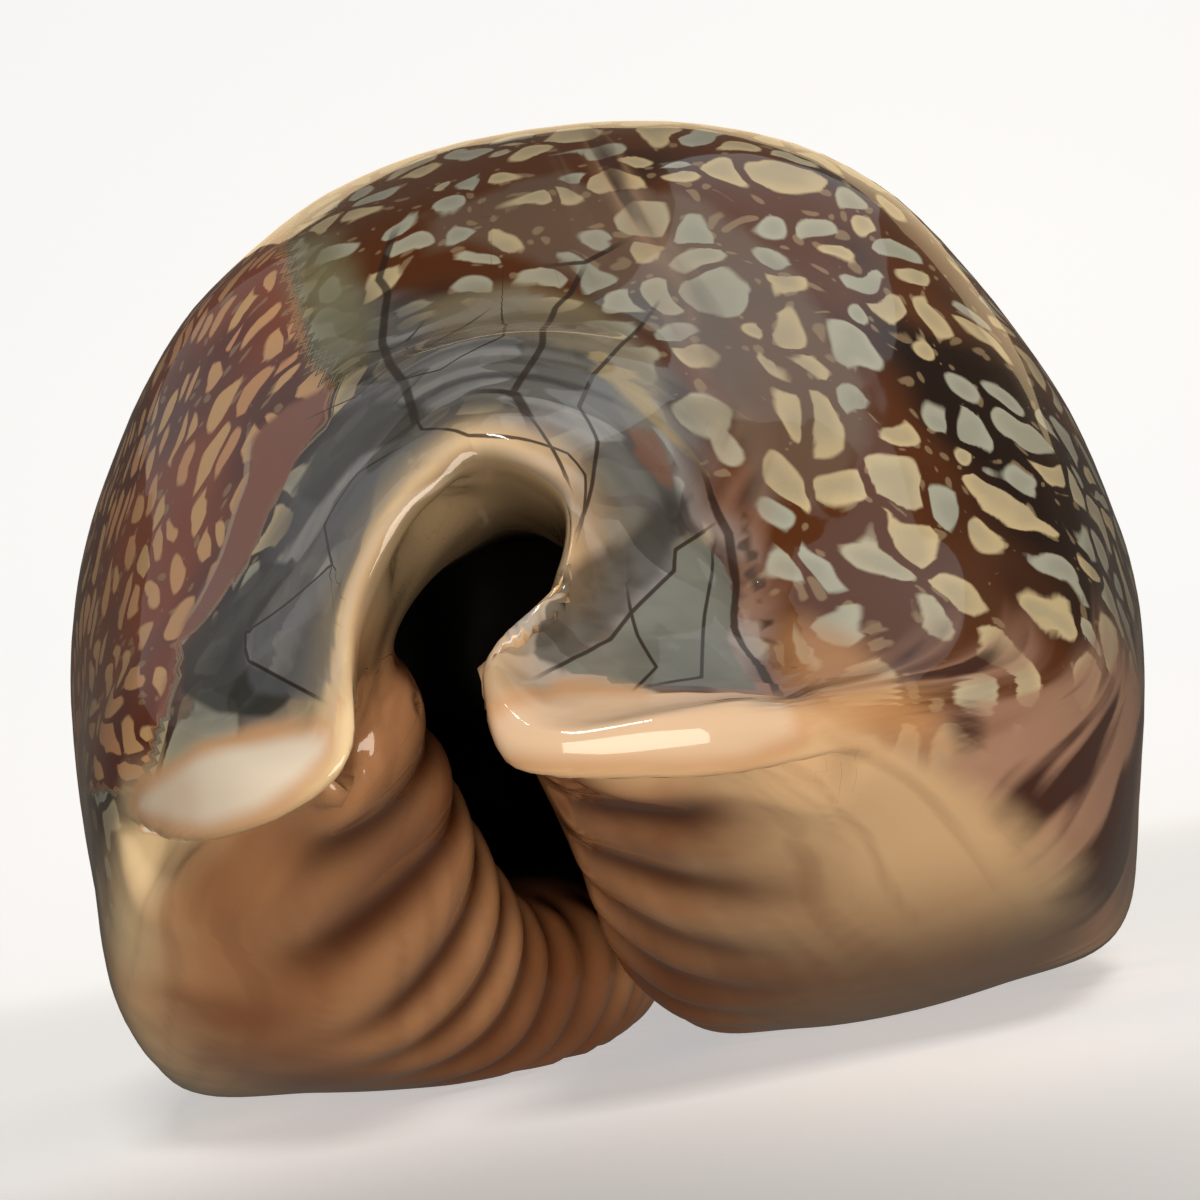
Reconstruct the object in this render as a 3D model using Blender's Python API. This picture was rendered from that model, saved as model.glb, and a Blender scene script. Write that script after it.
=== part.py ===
# Arabian cowrie: one closed shell with a toothed slot along its base.
# Metres, +Z up. The shell lies on its base with its long axis along Y.
# The blunt rear end, with its deep notch and two flanges, points to -Y.

import math
from collections import namedtuple

import bmesh
import bpy
import numpy as np

MM = 0.001

# Driving sizes, in millimetres
WIDTH = 44.6
HEIGHT = 39.4
CROWN_Y = 1.5
REAR_SHOULDER = 28.5
FRONT_SHOULDER = 31.5
WALL = 2.0
REST_REAR_Y = -10.0
REST_FRONT_Y = 12.0
REAR_LIFT = 10.2
FRONT_LIFT = 4.0
REST_SINK = 0.12
COLLAR_FILLET = 3
COLLAR_FRONT_Y = -14.0
DOME_SOFTENING = 0.08
EGG_LEVEL = 15.0

# Each side's section: lifts and lengths in millimetres, the rest as shares of
# the half width. The lip runs out from the slot's edge to the crest it rests on.
Side = namedtuple("Side", "shoulder flank rim rim_lift lip turn edge_lift")
LEFT = Side(shoulder=15.5, flank=0.975, rim=0.89, rim_lift=1.5, lip=-4.4, turn=-1.3, edge_lift=4.2)
RIGHT = Side(shoulder=13.8, flank=0.93, rim=0.845, rim_lift=1.6, lip=5.5, turn=1.9, edge_lift=4.6)
FLANK_RISE = 0.47
SOLE_PLACE = 0.58
SOLE_WIDTH = 0.84
SOLE_LIFT = 0.3
TURN_LIFT = 1.1
THROAT_LIFT = 7.5
THROAT_DEPTH = 2.2
CHAMBER_WIDTH = 0.92
CHAMBER_LENGTH = 0.97
CHAMBER_Z = 16.5

# Teeth, in millimetres
TEETH_PER_SIDE = 27
TOOTH_HEIGHT = 0.5

# How finely the cage is divided before the flat stretches are thinned out
STEPS_ALONG = 14
STEPS_ACROSS = 3
COLUMNS = 288
TRIANGLES = 9800

ENAMEL = (0.23, 0.10, 0.05, 1.0)

# Each section of the cage runs across the shell wall, through these places
SHOULDER, FLANK, RIM, SOLE, CREST, TURN, EDGE, THROAT, CHAMBER = range(9)
DOME_ANGLES = (75, 58, 40, 22, 10)
CEILING_ANGLES = (35, 65)


def ease(value, start, end):
    """Go smoothly from 0 at start to 1 at end."""
    t = min(max((value - start) / (end - start), 0.0), 1.0)
    return t * t * (3.0 - 2.0 * t)


def base_height(y):
    """The base rocks up towards both ends and is flat where the shell rests."""
    rear = max(REST_REAR_Y - y, 0.0) / 24.0
    front = max(y - REST_FRONT_Y, 0.0) / 22.0
    return REAR_LIFT * rear ** 1.35 + FRONT_LIFT * front ** 1.7 - REST_SINK


def half_width(side, y):
    """Half the width at the shoulder; the outer lip's side is blunter at its ends."""
    reach = REAR_SHOULDER if y < CROWN_Y else FRONT_SHOULDER
    power = 2.8 if side > 0 else 2.5
    along = min(abs(y - CROWN_Y) / reach, 1.0)
    return WIDTH / 2 * math.sqrt(1.0 - along ** power)


def slot_edges(y):
    """X of the slot's left and right edges: it bends left towards the rear."""
    bend = ease(y, -16.0, -3.0)
    front = ease(y, 14.0, 32.0)
    left = -3.8 + 4.1 * bend - 1.2 * front
    right = -0.9 + 3.5 * bend - 1.4 * front
    return left, right


def side_section(side, y):
    """A section of the wall at one place along the left or right side."""
    ground, out = base_height(y), side * half_width(side, y)
    edge = slot_edges(y)[0 if side < 0 else 1]
    cut = LEFT if side < 0 else RIGHT
    crest = edge + cut.lip
    sole = crest + (out * SOLE_WIDTH - crest) * SOLE_PLACE
    return [
        (out, y, cut.shoulder),
        (out * cut.flank, y, ground + (cut.shoulder - ground) * FLANK_RISE),
        (out * cut.rim, y, ground + cut.rim_lift),
        (sole, y, ground + SOLE_LIFT),
        (crest, y, ground),
        (edge + cut.turn, y, ground + TURN_LIFT),
        (edge, y, ground + cut.edge_lift),
        (edge + side * THROAT_DEPTH, y, ground + THROAT_LIFT),
        (out * CHAMBER_WIDTH, y * CHAMBER_LENGTH, CHAMBER_Z),
    ]


# Sections around the rear notch, shaped by hand, in millimetres.
# The first stands at the top of the notch's arch.
REAR_ARCH = [
    (-0.5, -27.4, 23.2), (-0.3, -31.4, 20.7), (-0.25, -33.8, 18.7),
    (-0.25, -33.6, 18.0), (-0.3, -32.8, 17.7), (-0.4, -31.5, 17.5),
    (-0.5, -29.0, 17.4), (-0.8, -25.0, 17.8), (-1.0, -19.0, 21.0)]

# Down the left of the notch, over the flange's inner corner and along it
REAR_LEFT = [
    [(-5.4, -26.5, 22.2), (-3.7, -31.0, 19.5), (-2.3, -33.6, 17.8),
     (-2.1, -33.5, 17.2), (-2.0, -32.6, 16.9), (-1.95, -31.3, 16.7),
     (-1.9, -29.0, 16.8), (-2.2, -25.0, 17.4), (-5.0, -19.0, 20.0)],
    [(-9.9, -25.0, 19.8), (-7.0, -30.6, 16.2), (-4.5, -33.5, 14.6),
     (-4.2, -33.4, 14.2), (-4.0, -32.4, 14.0), (-4.0, -31.2, 14.1),
     (-4.0, -29.8, 14.3), (-5.4, -25.0, 15.8), (-9.0, -18.5, 18.0)],
    [(-12.6, -23.4, 18.0), (-8.6, -31.2, 13.7), (-5.0, -34.2, 10.9),
     (-5.0, -33.5, 9.8), (-5.6, -31.6, 9.9), (-4.7, -31.0, 11.2),
     (-3.9, -30.0, 12.6), (-5.8, -24.5, 14.5), (-10.5, -18.0, 17.5)],
    [(-14.7, -21.8, 16.8), (-11.4, -29.8, 13.4), (-7.6, -33.5, 10.6),
     (-7.5, -32.8, 9.2), (-7.2, -30.2, 8.9), (-5.2, -28.6, 9.7),
     (-4.0, -27.6, 11.2), (-6.0, -23.5, 14.0), (-11.5, -17.5, 17.0)],
    [(-16.8, -19.4, 15.9), (-14.1, -26.8, 12.3), (-11.1, -30.6, 10.3),
     (-11.2, -29.7, 8.5), (-9.4, -26.8, 6.7), (-5.9, -25.0, 8.2),
     (-4.1, -24.5, 10.0), (-6.0, -22.0, 13.5), (-12.5, -16.5, 17.0)],
    [(-18.8, -16.2, 15.5), (-17.0, -20.6, 10.2), (-15.6, -22.6, 5.4),
     (-13.4, -21.8, 3.7), (-9.0, -20.4, 3.1), (-5.6, -20.0, 5.4),
     (-4.2, -20.0, 8.2), (-6.4, -19.0, 12.5), (-14.5, -14.0, 17.0)]]

# Down the right of the notch, which pinches in above the right flange
REAR_RIGHT = [
    [(5.2, -26.2, 21.8), (3.2, -31.2, 18.8), (1.9, -33.4, 17.1),
     (1.6, -33.4, 16.6), (1.4, -32.6, 16.3), (1.2, -31.3, 16.2),
     (0.9, -29.2, 16.4), (0.8, -25.0, 17.0), (4.0, -19.0, 20.0)],
    [(9.0, -25.4, 18.6), (4.9, -30.2, 15.6), (1.3, -33.2, 14.7),
     (0.8, -33.0, 14.3), (0.6, -32.2, 14.2), (0.6, -31.0, 14.3),
     (0.7, -29.2, 14.8), (1.0, -25.0, 16.0), (7.0, -18.7, 18.5)],
    [(11.2, -24.6, 16.8), (5.8, -30.2, 13.4), (-0.5, -33.7, 13.1),
     (-1.1, -33.6, 12.6), (-1.15, -32.6, 12.2), (-1.1, -31.5, 12.2),
     (-1.1, -30.0, 12.6), (0.5, -25.0, 15.0), (8.6, -18.5, 17.5)],
    [(13.2, -23.5, 15.5), (7.6, -30.9, 11.7), (-0.7, -34.3, 10.8),
     (-0.6, -33.6, 9.7), (0.3, -32.2, 9.6), (0.2, -31.5, 10.0),
     (-1.1, -30.4, 11.2), (1.0, -24.5, 14.5), (10.0, -18.0, 17.0)],
    [(15.2, -21.8, 14.6), (11.6, -29.3, 11.4), (3.4, -34.0, 10.2),
     (3.3, -33.3, 9.0), (3.9, -31.0, 8.9), (2.7, -29.6, 8.7),
     (-0.9, -28.2, 10.3), (2.0, -23.5, 14.0), (11.6, -17.5, 16.5)],
    [(17.9, -19.9, 14.2), (15.4, -26.4, 10.6), (9.6, -30.8, 9.0),
     (9.0, -29.6, 7.8), (7.0, -27.0, 6.4), (2.2, -26.0, 7.6),
     (-0.9, -25.0, 9.4), (2.5, -22.0, 13.5), (13.2, -16.5, 16.5)],
    [(19.5, -16.6, 13.9), (17.9, -21.2, 9.2), (15.4, -23.6, 5.2),
     (12.0, -22.2, 3.6), (6.0, -21.2, 3.3), (1.5, -20.6, 5.0),
     (-0.9, -20.0, 8.0), (2.5, -19.0, 12.5), (15.0, -14.0, 16.5)]]

SIDE_PLACES = (-13.0, -7.5, -1.0, 6.5, 15.0, 23.0)

# The front end is narrower and alike on both sides; x is mirrored by side
FRONT_HALF = [
    [(13.2, 28.5, 13.5), (12.4, 30.2, 9.2), (9.3, 31.6, 5.8),
     (8.0, 30.2, 3.6), (5.0, 29.2, 2.9), (2.6, 28.6, 4.4),
     (1.3, 28.0, 6.4), (3.0, 26.0, 10.0), (9.0, 24.0, 15.0)],
    [(8.2, 31.0, 15.0), (6.0, 33.0, 10.8), (3.4, 34.0, 6.2),
     (3.0, 33.2, 4.6), (2.8, 31.9, 4.2), (1.9, 31.2, 5.6),
     (1.2, 30.4, 7.3), (2.0, 27.5, 10.5), (5.0, 25.0, 16.0)],
    [(4.2, 32.0, 17.0), (3.0, 33.4, 12.4), (1.7, 34.0, 9.3),
     (1.5, 33.6, 8.6), (1.4, 32.9, 8.3), (1.3, 31.8, 8.4),
     (1.1, 30.4, 8.8), (1.0, 27.5, 11.5), (2.5, 25.5, 17.0)]]
FRONT_ARCH = [
    (0.0, 32.4, 18.0), (0.0, 33.6, 13.4), (0.0, 34.0, 10.4),
    (0.0, 33.7, 9.7), (0.0, 32.9, 9.4), (0.0, 31.8, 9.4),
    (0.0, 30.4, 9.6), (0.0, 27.5, 12.0), (0.0, 25.5, 17.5)]


def front_sections(side):
    """The front end's sections on one side, in order towards the front arch."""
    return [[(side * x, y, z) for x, y, z in section] for section in FRONT_HALF]


def cage_sections():
    """All sections in order, anticlockwise from the rear arch seen from above."""
    right = REAR_RIGHT + [side_section(1, y) for y in SIDE_PLACES] + front_sections(1)
    left = REAR_LEFT + [side_section(-1, y) for y in SIDE_PLACES] + front_sections(-1)
    return np.array([REAR_ARCH] + right + [FRONT_ARCH] + left[::-1])


def domed_rings(ring, top, angles):
    """Rings that rise from a ring to a point on top, as an egg does."""
    rings = []
    for angle in angles:
        turn = math.radians(angle)
        out = ring.copy()
        out[:, :2] = top[:2] + (ring[:, :2] - top[:2]) * math.cos(turn)
        level = np.minimum(ring[:, 2], EGG_LEVEL)
        rise = top[2] - level
        reach = 1.0 - ((ring[:, 2] - level) / rise) ** 2
        out[:, 2] = level + rise * np.sqrt(1.0 - reach * math.cos(turn) ** 2)
        rings.append(out)
    return rings


def soften(ring, width):
    """Even out a closed ring over the given number of points, keeping its size."""
    waves = np.fft.rfft(ring, axis=0)
    order = np.arange(len(waves)) * 2 * math.pi / len(ring)
    keep = np.exp(-0.5 * (np.maximum(order - order[1], 0.0) * width) ** 2)
    return np.fft.irfft(waves * keep[:, None], n=len(ring), axis=0)


def cage_rings():
    """The whole cage as rings, from the crown outside to the ceiling inside."""
    rings = cage_sections().transpose(1, 0, 2)
    crown = np.array([0.0, CROWN_Y, HEIGHT])
    ceiling = np.array([0.0, CROWN_Y, HEIGHT - WALL])
    dome = domed_rings(rings[SHOULDER], crown, DOME_ANGLES)
    cave = domed_rings(rings[CHAMBER], ceiling, CEILING_ANGLES)
    floor = chamber_floor(rings[THROAT], rings[CHAMBER])
    count = rings.shape[1]
    cage = np.array([np.tile(crown, (count, 1))] + dome + list(rings[:CHAMBER])
                    + [floor, rings[CHAMBER]] + cave + [np.tile(ceiling, (count, 1))])
    for _ in range(COLLAR_FILLET):
        round_collar(cage)
    return cage


def chamber_floor(throat, chamber):
    """A ring that widens the chamber low down, above the thick base."""
    floor = throat * 0.3 + chamber * 0.7
    floor[:, 2] = throat[:, 2] * 0.85 + chamber[:, 2] * 0.15
    return floor


def round_collar(cage):
    """Ease the hollow where the dome meets the rear collar."""
    shoulder = len(DOME_ANGLES) + 1
    stretch = slice(shoulder - 2, shoulder + 1)
    before = cage[shoulder - 3:shoulder]
    after = cage[shoulder - 1:shoulder + 2]
    rear = np.clip((COLLAR_FRONT_Y - cage[shoulder, :, 1]) / 8.0, 0.0, 1.0)[:, None]
    middle = (before + after) / 2
    cage[stretch] += (middle - cage[stretch]) * 0.5 * rear


def loft(rows, steps, closed):
    """Run a smooth curve through the rows, with the given steps between them."""
    count = len(rows)

    def row(i):
        return rows[i % count] if closed else rows[min(max(i, 0), count - 1)]

    def gap(i):
        return np.sqrt(np.maximum(np.linalg.norm(row(i + 1) - row(i), axis=-1), 1e-6))[..., None]

    def slope(i):
        before, after = row(i) - row(i - 1), row(i + 1) - row(i)
        if not closed and i == 0:
            return after / gap(i)
        if not closed and i == count - 1:
            return before / gap(i - 1)
        d0, d1 = gap(i - 1), gap(i)
        return (before / d0 * d1 + after / d1 * d0) / (d0 + d1)

    out = []
    for i in range(count if closed else count - 1):
        start, end = row(i), row(i + 1)
        leave = slope(i) * gap(i)
        arrive = slope(i + 1 if i + 1 < count or not closed else 0) * gap(i)
        for t in np.arange(steps) / steps:
            out.append((2 * t ** 3 - 3 * t ** 2 + 1) * start + (t ** 3 - 2 * t ** 2 + t) * leave
                       + (3 * t ** 2 - 2 * t ** 3) * end + (t ** 3 - t ** 2) * arrive)
    if not closed:
        out.append(row(count - 1))
    return np.array(out)


def even_columns(grid, guide, columns):
    """Space the columns evenly along the guide ring; also return their section numbers."""
    ring = grid[guide]
    lengths = np.linalg.norm(np.roll(ring, -1, axis=0) - ring, axis=1)
    travelled = np.concatenate([[0.0], np.cumsum(lengths)])
    wanted = np.arange(columns) / columns * travelled[-1]
    place = np.interp(wanted, travelled, np.arange(len(ring) + 1))
    low = place.astype(int) % len(ring)
    part = (place - place.astype(int))[None, :, None]
    spaced = grid[:, low] * (1 - part) + grid[:, (low + 1) % len(ring)] * part
    return spaced, place / STEPS_ALONG


def outward_normals(grid):
    """The outward direction at each point of the grid."""
    around = np.roll(grid, -1, axis=1) - np.roll(grid, 1, axis=1)
    across = np.gradient(grid, axis=0)
    normal = np.cross(across, around)
    return normal / np.maximum(np.linalg.norm(normal, axis=-1, keepdims=True), 1e-9)


def add_teeth(grid, sections):
    """Raise the ridges that cross both lips of the slot."""
    front_arch = len(REAR_RIGHT) + len(SIDE_PLACES) + len(FRONT_HALF) + 1
    total = front_arch + len(REAR_LEFT) + len(SIDE_PLACES) + len(FRONT_HALF)
    first = len(DOME_ANGLES) + 1
    edge_row = (first + EDGE) * STEPS_ACROSS
    normal = outward_normals(grid)
    ring = grid[edge_row]
    steps = np.linalg.norm(np.roll(ring, -1, axis=0) - ring, axis=1)
    rows = np.arange(len(grid)) / STEPS_ACROSS - first
    bump = np.zeros(grid.shape[:2])
    for side in (1, -1):
        inward = sections if side > 0 else total - sections
        toothed = (inward > (4.0 if side > 0 else 1.8)) & (inward < front_arch - 0.9)
        toothed &= (sections < front_arch) if side > 0 else (sections > front_arch)
        travelled = np.cumsum(np.where(toothed, steps, 0.0))
        phase = travelled / travelled[-1] * TEETH_PER_SIDE * 2 * math.pi
        ridge = np.where(toothed, 0.5 - 0.5 * np.cos(phase), 0.0)
        outer, inner = (CREST - 0.1, TURN + 0.35) if side > 0 else (CREST - 0.1, EDGE + 0.3)
        reach = np.array([ease(r, outer, outer + 0.6) * (1 - ease(r, inner, inner + 0.4))
                          for r in rows])
        bump += reach[:, None] * ridge[None, :] * TOOTH_HEIGHT
    return grid + normal * bump[..., None]


def shell_grid():
    """The finished surface as rings of points, in millimetres."""
    rings = loft(cage_rings(), STEPS_ACROSS, closed=False)
    grid = loft(rings.transpose(1, 0, 2), STEPS_ALONG, closed=True).transpose(1, 0, 2)
    first = len(DOME_ANGLES) + 1
    grid, sections = even_columns(grid, (first + EDGE) * STEPS_ACROSS, COLUMNS)
    for row in range(first * STEPS_ACROSS):
        above = 1.0 - row / (first * STEPS_ACROSS)
        grid[row] = soften(grid[row], DOME_SOFTENING * above * COLUMNS)
    grid = add_teeth(grid, sections)
    grid[..., 2] = np.maximum(grid[..., 2], 0.0)
    middle = (grid.min(axis=(0, 1)) + grid.max(axis=(0, 1))) / 2
    grid[..., :2] -= middle[:2]
    return grid


def wrap_sphere(grid):
    """Pull a sphere over the grid, so that the shell is one closed surface."""
    rows, columns = len(grid) - 1, grid.shape[1]
    bm = bmesh.new()
    bmesh.ops.create_uvsphere(bm, u_segments=columns, v_segments=rows, radius=1.0)
    for vert in bm.verts:
        x, y, z = vert.co
        row = round(math.acos(min(max(z, -1.0), 1.0)) / math.pi * rows)
        column = round(math.atan2(y, x) / (2 * math.pi) * columns) % columns
        vert.co = grid[row, column] * MM
    bmesh.ops.triangulate(bm, faces=bm.faces[:])
    mesh = bpy.data.meshes.new("shell")
    bm.to_mesh(mesh)
    bm.free()
    return mesh


def enamel():
    """Glossy brown enamel."""
    material = bpy.data.materials.new("enamel")
    material.use_nodes = True
    shader = material.node_tree.nodes["Principled BSDF"]
    shader.inputs["Base Color"].default_value = ENAMEL
    shader.inputs["Roughness"].default_value = 0.18
    shader.inputs["Metallic"].default_value = 0.0
    return material


def make_shell(collection):
    """The shell itself, with its smooth stretches thinned to fewer triangles."""
    mesh = wrap_sphere(shell_grid())
    mesh.materials.append(enamel())
    mesh.shade_smooth()
    shell = bpy.data.objects.new("shell", mesh)
    collection.objects.link(shell)
    thin = shell.modifiers.new("fewer triangles", "DECIMATE")
    thin.ratio = TRIANGLES / len(mesh.polygons)
    return shell


for old in list(bpy.data.objects):
    bpy.data.objects.remove(old, do_unlink=True)
cowrie = bpy.data.collections.new("arabian_cowrie")
bpy.context.scene.collection.children.link(cowrie)
make_shell(cowrie)
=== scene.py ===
# %% [markdown]
# # An arabian cowrie, seen from its notched rear end
#
# A cowrie is one closed shell. The animal lays glossy enamel over it from both
# sides, so there are no seams to model: one mesh carries every finish. The
# lesson builds that mesh from a few cross-sections, wraps a grid over them,
# notes on the mesh where each zone of enamel lies, and then paints the zones
# with procedural nodes.

# %% Load the fixed frame
import bpy
import bmesh
import math
from collections import namedtuple

import numpy as np
from mathutils import Matrix, Vector
from mathutils import noise as clouds


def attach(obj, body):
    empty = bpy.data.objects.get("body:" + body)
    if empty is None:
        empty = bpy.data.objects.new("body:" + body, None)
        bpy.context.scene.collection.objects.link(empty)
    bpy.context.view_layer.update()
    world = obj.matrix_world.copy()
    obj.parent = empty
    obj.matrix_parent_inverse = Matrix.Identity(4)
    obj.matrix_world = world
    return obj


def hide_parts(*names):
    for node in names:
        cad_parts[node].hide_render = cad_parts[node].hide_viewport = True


MM = 0.001
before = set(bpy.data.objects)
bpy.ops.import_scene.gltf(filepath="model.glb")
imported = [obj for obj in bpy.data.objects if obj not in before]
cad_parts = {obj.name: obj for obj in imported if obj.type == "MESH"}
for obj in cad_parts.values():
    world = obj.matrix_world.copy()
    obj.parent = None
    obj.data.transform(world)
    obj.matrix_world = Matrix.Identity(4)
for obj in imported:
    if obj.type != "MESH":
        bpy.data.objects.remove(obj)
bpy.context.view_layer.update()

# %% [markdown]
# ## The camera
#
# The shell was photographed from very close, from just above the surface that
# it lies on, looking slightly up into the notch, with the camera turned a
# little to one side and rolled. A close camera makes the near lips look large
# against the dome, so its distance matters as much as its direction. The
# place and the angles are given in the shell's own millimetres and degrees.

# %% Camera
CAMERA_PLACE = (4.8, -76.0, 7.0)
CAMERA_RISE = 9.1
CAMERA_TURN = 3.6
CAMERA_ROLL = 9.0
CAMERA_LENS = 50.4
SENSOR = 36.0

rise, turn, roll = (math.radians(a) for a in (CAMERA_RISE, CAMERA_TURN, CAMERA_ROLL))
ahead = Vector((-math.sin(turn) * math.cos(rise), math.cos(turn) * math.cos(rise), math.sin(rise)))
level_right = ahead.cross(Vector((0, 0, 1))).normalized()
level_up = level_right.cross(ahead)
right = level_right * math.cos(roll) - level_up * math.sin(roll)
up = level_right * math.sin(roll) + level_up * math.cos(roll)
lens = bpy.data.cameras.new("camera")
lens.lens = CAMERA_LENS
lens.sensor_width = SENSOR
lens.sensor_height = SENSOR
lens.clip_start = 0.001
camera = bpy.data.objects.new("camera", lens)
camera.matrix_world = Matrix.Translation(Vector(CAMERA_PLACE) * MM) @ Matrix(
    [right, up, -ahead]).transposed().to_4x4()
bpy.context.scene.collection.objects.link(camera)
bpy.context.scene.camera = camera
print("camera", camera.location, "looks along", ahead)

# %% [markdown]
# ## The studio
#
# The shell stands on a pale paper sweep. Its glossy enamel would mirror so much
# white paper that the dark net would turn grey, so the paper shows itself to
# the camera only, and the shell is lit by soft panels alone. The paper glows a
# little as painted light, more so far away from the shell, where the panels
# reach it less, and its glow is taken away in a painted shadow just in front of
# the lips. What the white paper would throw back up at the base comes from a
# panel below it.

# %% Floor and backdrop
SWEEP_NEAR = -0.5
SWEEP_BEND = 0.32
SWEEP_RADIUS = 0.22
SWEEP_TOP = 0.75
SWEEP_HALF_WIDTH = 1.1
SWEEP_COLOUR = (0.79, 0.805, 0.83, 1.0)
NEAR_GLOW, FAR_GLOW = 0.46, 0.74
GLOW_START, GLOW_REACH = 0.02, 0.42
# A painted shadow: around this point in front of the lips the paper's glow is taken away
SHADE_AT = (-0.006, -0.052, 0.0)
SHADE = 0.44
SHADE_START, SHADE_REACH = 0.002, 0.038

bm = bmesh.new()
strip = [bm.verts.new((-SWEEP_HALF_WIDTH, y, 0.0)) for y in (SWEEP_NEAR, SWEEP_BEND)]
bm.edges.new(strip)
bmesh.ops.spin(bm, geom=[strip[1]], cent=(0, SWEEP_BEND, SWEEP_RADIUS), axis=(1, 0, 0), dvec=(0, 0, 0),
               angle=math.pi / 2, steps=24, use_merge=False, use_normal_flip=False, use_duplicate=False)
top = max(bm.verts, key=lambda v: v.co.z)
lifted = bmesh.ops.extrude_vert_indiv(bm, verts=[top])["verts"]
bmesh.ops.translate(bm, verts=lifted, vec=(0, 0, SWEEP_TOP))
across = bmesh.ops.extrude_edge_only(bm, edges=bm.edges[:])["geom"]
bmesh.ops.translate(bm, verts=[g for g in across if isinstance(g, bmesh.types.BMVert)],
                    vec=(2 * SWEEP_HALF_WIDTH, 0, 0))
bmesh.ops.recalc_face_normals(bm, faces=bm.faces[:])
sweep_mesh = bpy.data.meshes.new("sweep")
bm.to_mesh(sweep_mesh)
bm.free()
sweep_mesh.shade_smooth()
sweep = bpy.data.objects.new("sweep", sweep_mesh)
sweep.visible_diffuse = False
sweep.visible_glossy = False
sweep.visible_shadow = False
bpy.context.scene.collection.objects.link(sweep)

paper = bpy.data.materials.new("pale paper")
paper.use_nodes = True
nodes, links = paper.node_tree.nodes, paper.node_tree.links
shader = nodes["Principled BSDF"]
shader.inputs["Base Color"].default_value = SWEEP_COLOUR
shader.inputs["Roughness"].default_value = 1.0
shader.inputs["Specular IOR Level"].default_value = 0.0
shader.inputs["Emission Strength"].default_value = 1.0
ground = nodes.new("ShaderNodeTexCoord").outputs["Object"]


def by_distance(centre, *limits):
    """A smooth value between two distances from a point on the paper."""
    away = nodes.new("ShaderNodeVectorMath")
    away.operation = "DISTANCE"
    links.new(ground, away.inputs[0])
    away.inputs[1].default_value = centre
    ramp = nodes.new("ShaderNodeMapRange")
    ramp.interpolation_type = "SMOOTHSTEP"
    for socket, value in zip(("From Min", "From Max", "To Min", "To Max"), limits):
        ramp.inputs[socket].default_value = value
    links.new(away.outputs["Value"], ramp.inputs["Value"])
    return ramp.outputs["Result"]


# The paper's painted glow, less the painted shadow in front of the lips
glow = nodes.new("ShaderNodeMath")
glow.operation = "SUBTRACT"
links.new(by_distance((0.0, 0.0, 0.0), GLOW_START, GLOW_REACH, NEAR_GLOW, FAR_GLOW), glow.inputs[0])
links.new(by_distance(SHADE_AT, SHADE_START, SHADE_REACH, SHADE, 0.0), glow.inputs[1])
links.new(glow.outputs["Value"], shader.inputs["Emission Color"])
sweep_mesh.materials.append(paper)
print("sweep", len(sweep_mesh.polygons), "faces")

# %% [markdown]
# ### Panels
#
# A glossy thing is mostly a picture of what stands around it, so each panel is
# placed by its reflection. It is given by the direction that it stands in, seen
# from the shell, and by its brightness, which is what the enamel mirrors. A
# window high on the right lays the grey veil over the net, a low sun behind
# turns the dome's outline golden, and a lamp over the camera lights the rims.

# %% Lights
# Each light: degrees round from +Y to +X, degrees up, metres away, width, height, brightness, colour
LIGHTS = {
    "window": (72.0, 60.0, 0.40, 0.24, 0.22, 0.55, (0.92, 0.97, 1.0)),
    "left window": (-62.0, 44.0, 0.42, 0.20, 0.22, 0.18, (0.95, 0.97, 1.0)),
    "camera lamp": (168.0, 38.0, 0.50, 0.12, 0.10, 30.0, (1.0, 0.94, 0.86)),
    "low sun": (16.0, 38.0, 0.42, 0.50, 0.16, 0.9, (1.0, 0.74, 0.42)),
    "bounce": (165.0, -30.0, 0.45, 0.30, 0.20, 7.5, (1.0, 0.90, 0.76)),
}
TARGET = Vector((0.0, -0.012, 0.016))
ROOM_COLOUR = (0.95, 0.80, 0.66, 1.0)
ROOM_BRIGHTNESS = 0.09
for name, (bearing, height, away, width, tall, brightness, colour) in LIGHTS.items():
    lamp = bpy.data.lights.new(name, "AREA")
    lamp.shape = "RECTANGLE"
    lamp.size, lamp.size_y = width, tall
    lamp.energy = brightness * math.pi * width * tall
    lamp.color = colour
    light = bpy.data.objects.new(name, lamp)
    bearing, height = math.radians(bearing), math.radians(height)
    level = math.cos(height)
    aim = Vector((math.sin(bearing) * level, math.cos(bearing) * level, math.sin(height)))
    light.location = TARGET + aim * away
    light.rotation_euler = aim.to_track_quat("Z", "Y").to_euler()
    bpy.context.scene.collection.objects.link(light)
world = bpy.data.worlds.new("studio")
world.use_nodes = True
room = world.node_tree.nodes["Background"]
room.inputs["Color"].default_value = ROOM_COLOUR
room.inputs["Strength"].default_value = ROOM_BRIGHTNESS
bpy.context.scene.world = world
print(len(LIGHTS), "lights")

# %% [markdown]
# ## The shell's form
#
# No primitive looks like a cowrie's rear end, but its sections are simple to
# describe: each one starts on the outside at the shoulder, runs down the flank
# and under the base to the lip's crest, turns up into the slot, and goes on
# over the teeth to the throat and the chamber. A few such sections, set where
# the form changes, are enough, because a smooth curve joins them.

# %% Driving sizes, in millimetres
WIDTH = 44.6
HEIGHT = 39.4
CROWN_Y = 1.5
REAR_SHOULDER = 28.5
FRONT_SHOULDER = 31.5
WALL = 2.0
REST_REAR_Y = -10.0
REST_FRONT_Y = 12.0
REAR_LIFT = 10.2
FRONT_LIFT = 4.0
REST_SINK = 0.12

# Each section runs across the shell wall through these places
SHOULDER, FLANK, RIM, SOLE, CREST, TURN, EDGE, THROAT, CHAMBER = range(9)


def ease(value, start, end):
    """Go smoothly from 0 at start to 1 at end."""
    t = np.clip((value - start) / (end - start), 0.0, 1.0)
    return t * t * (3.0 - 2.0 * t)


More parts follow.
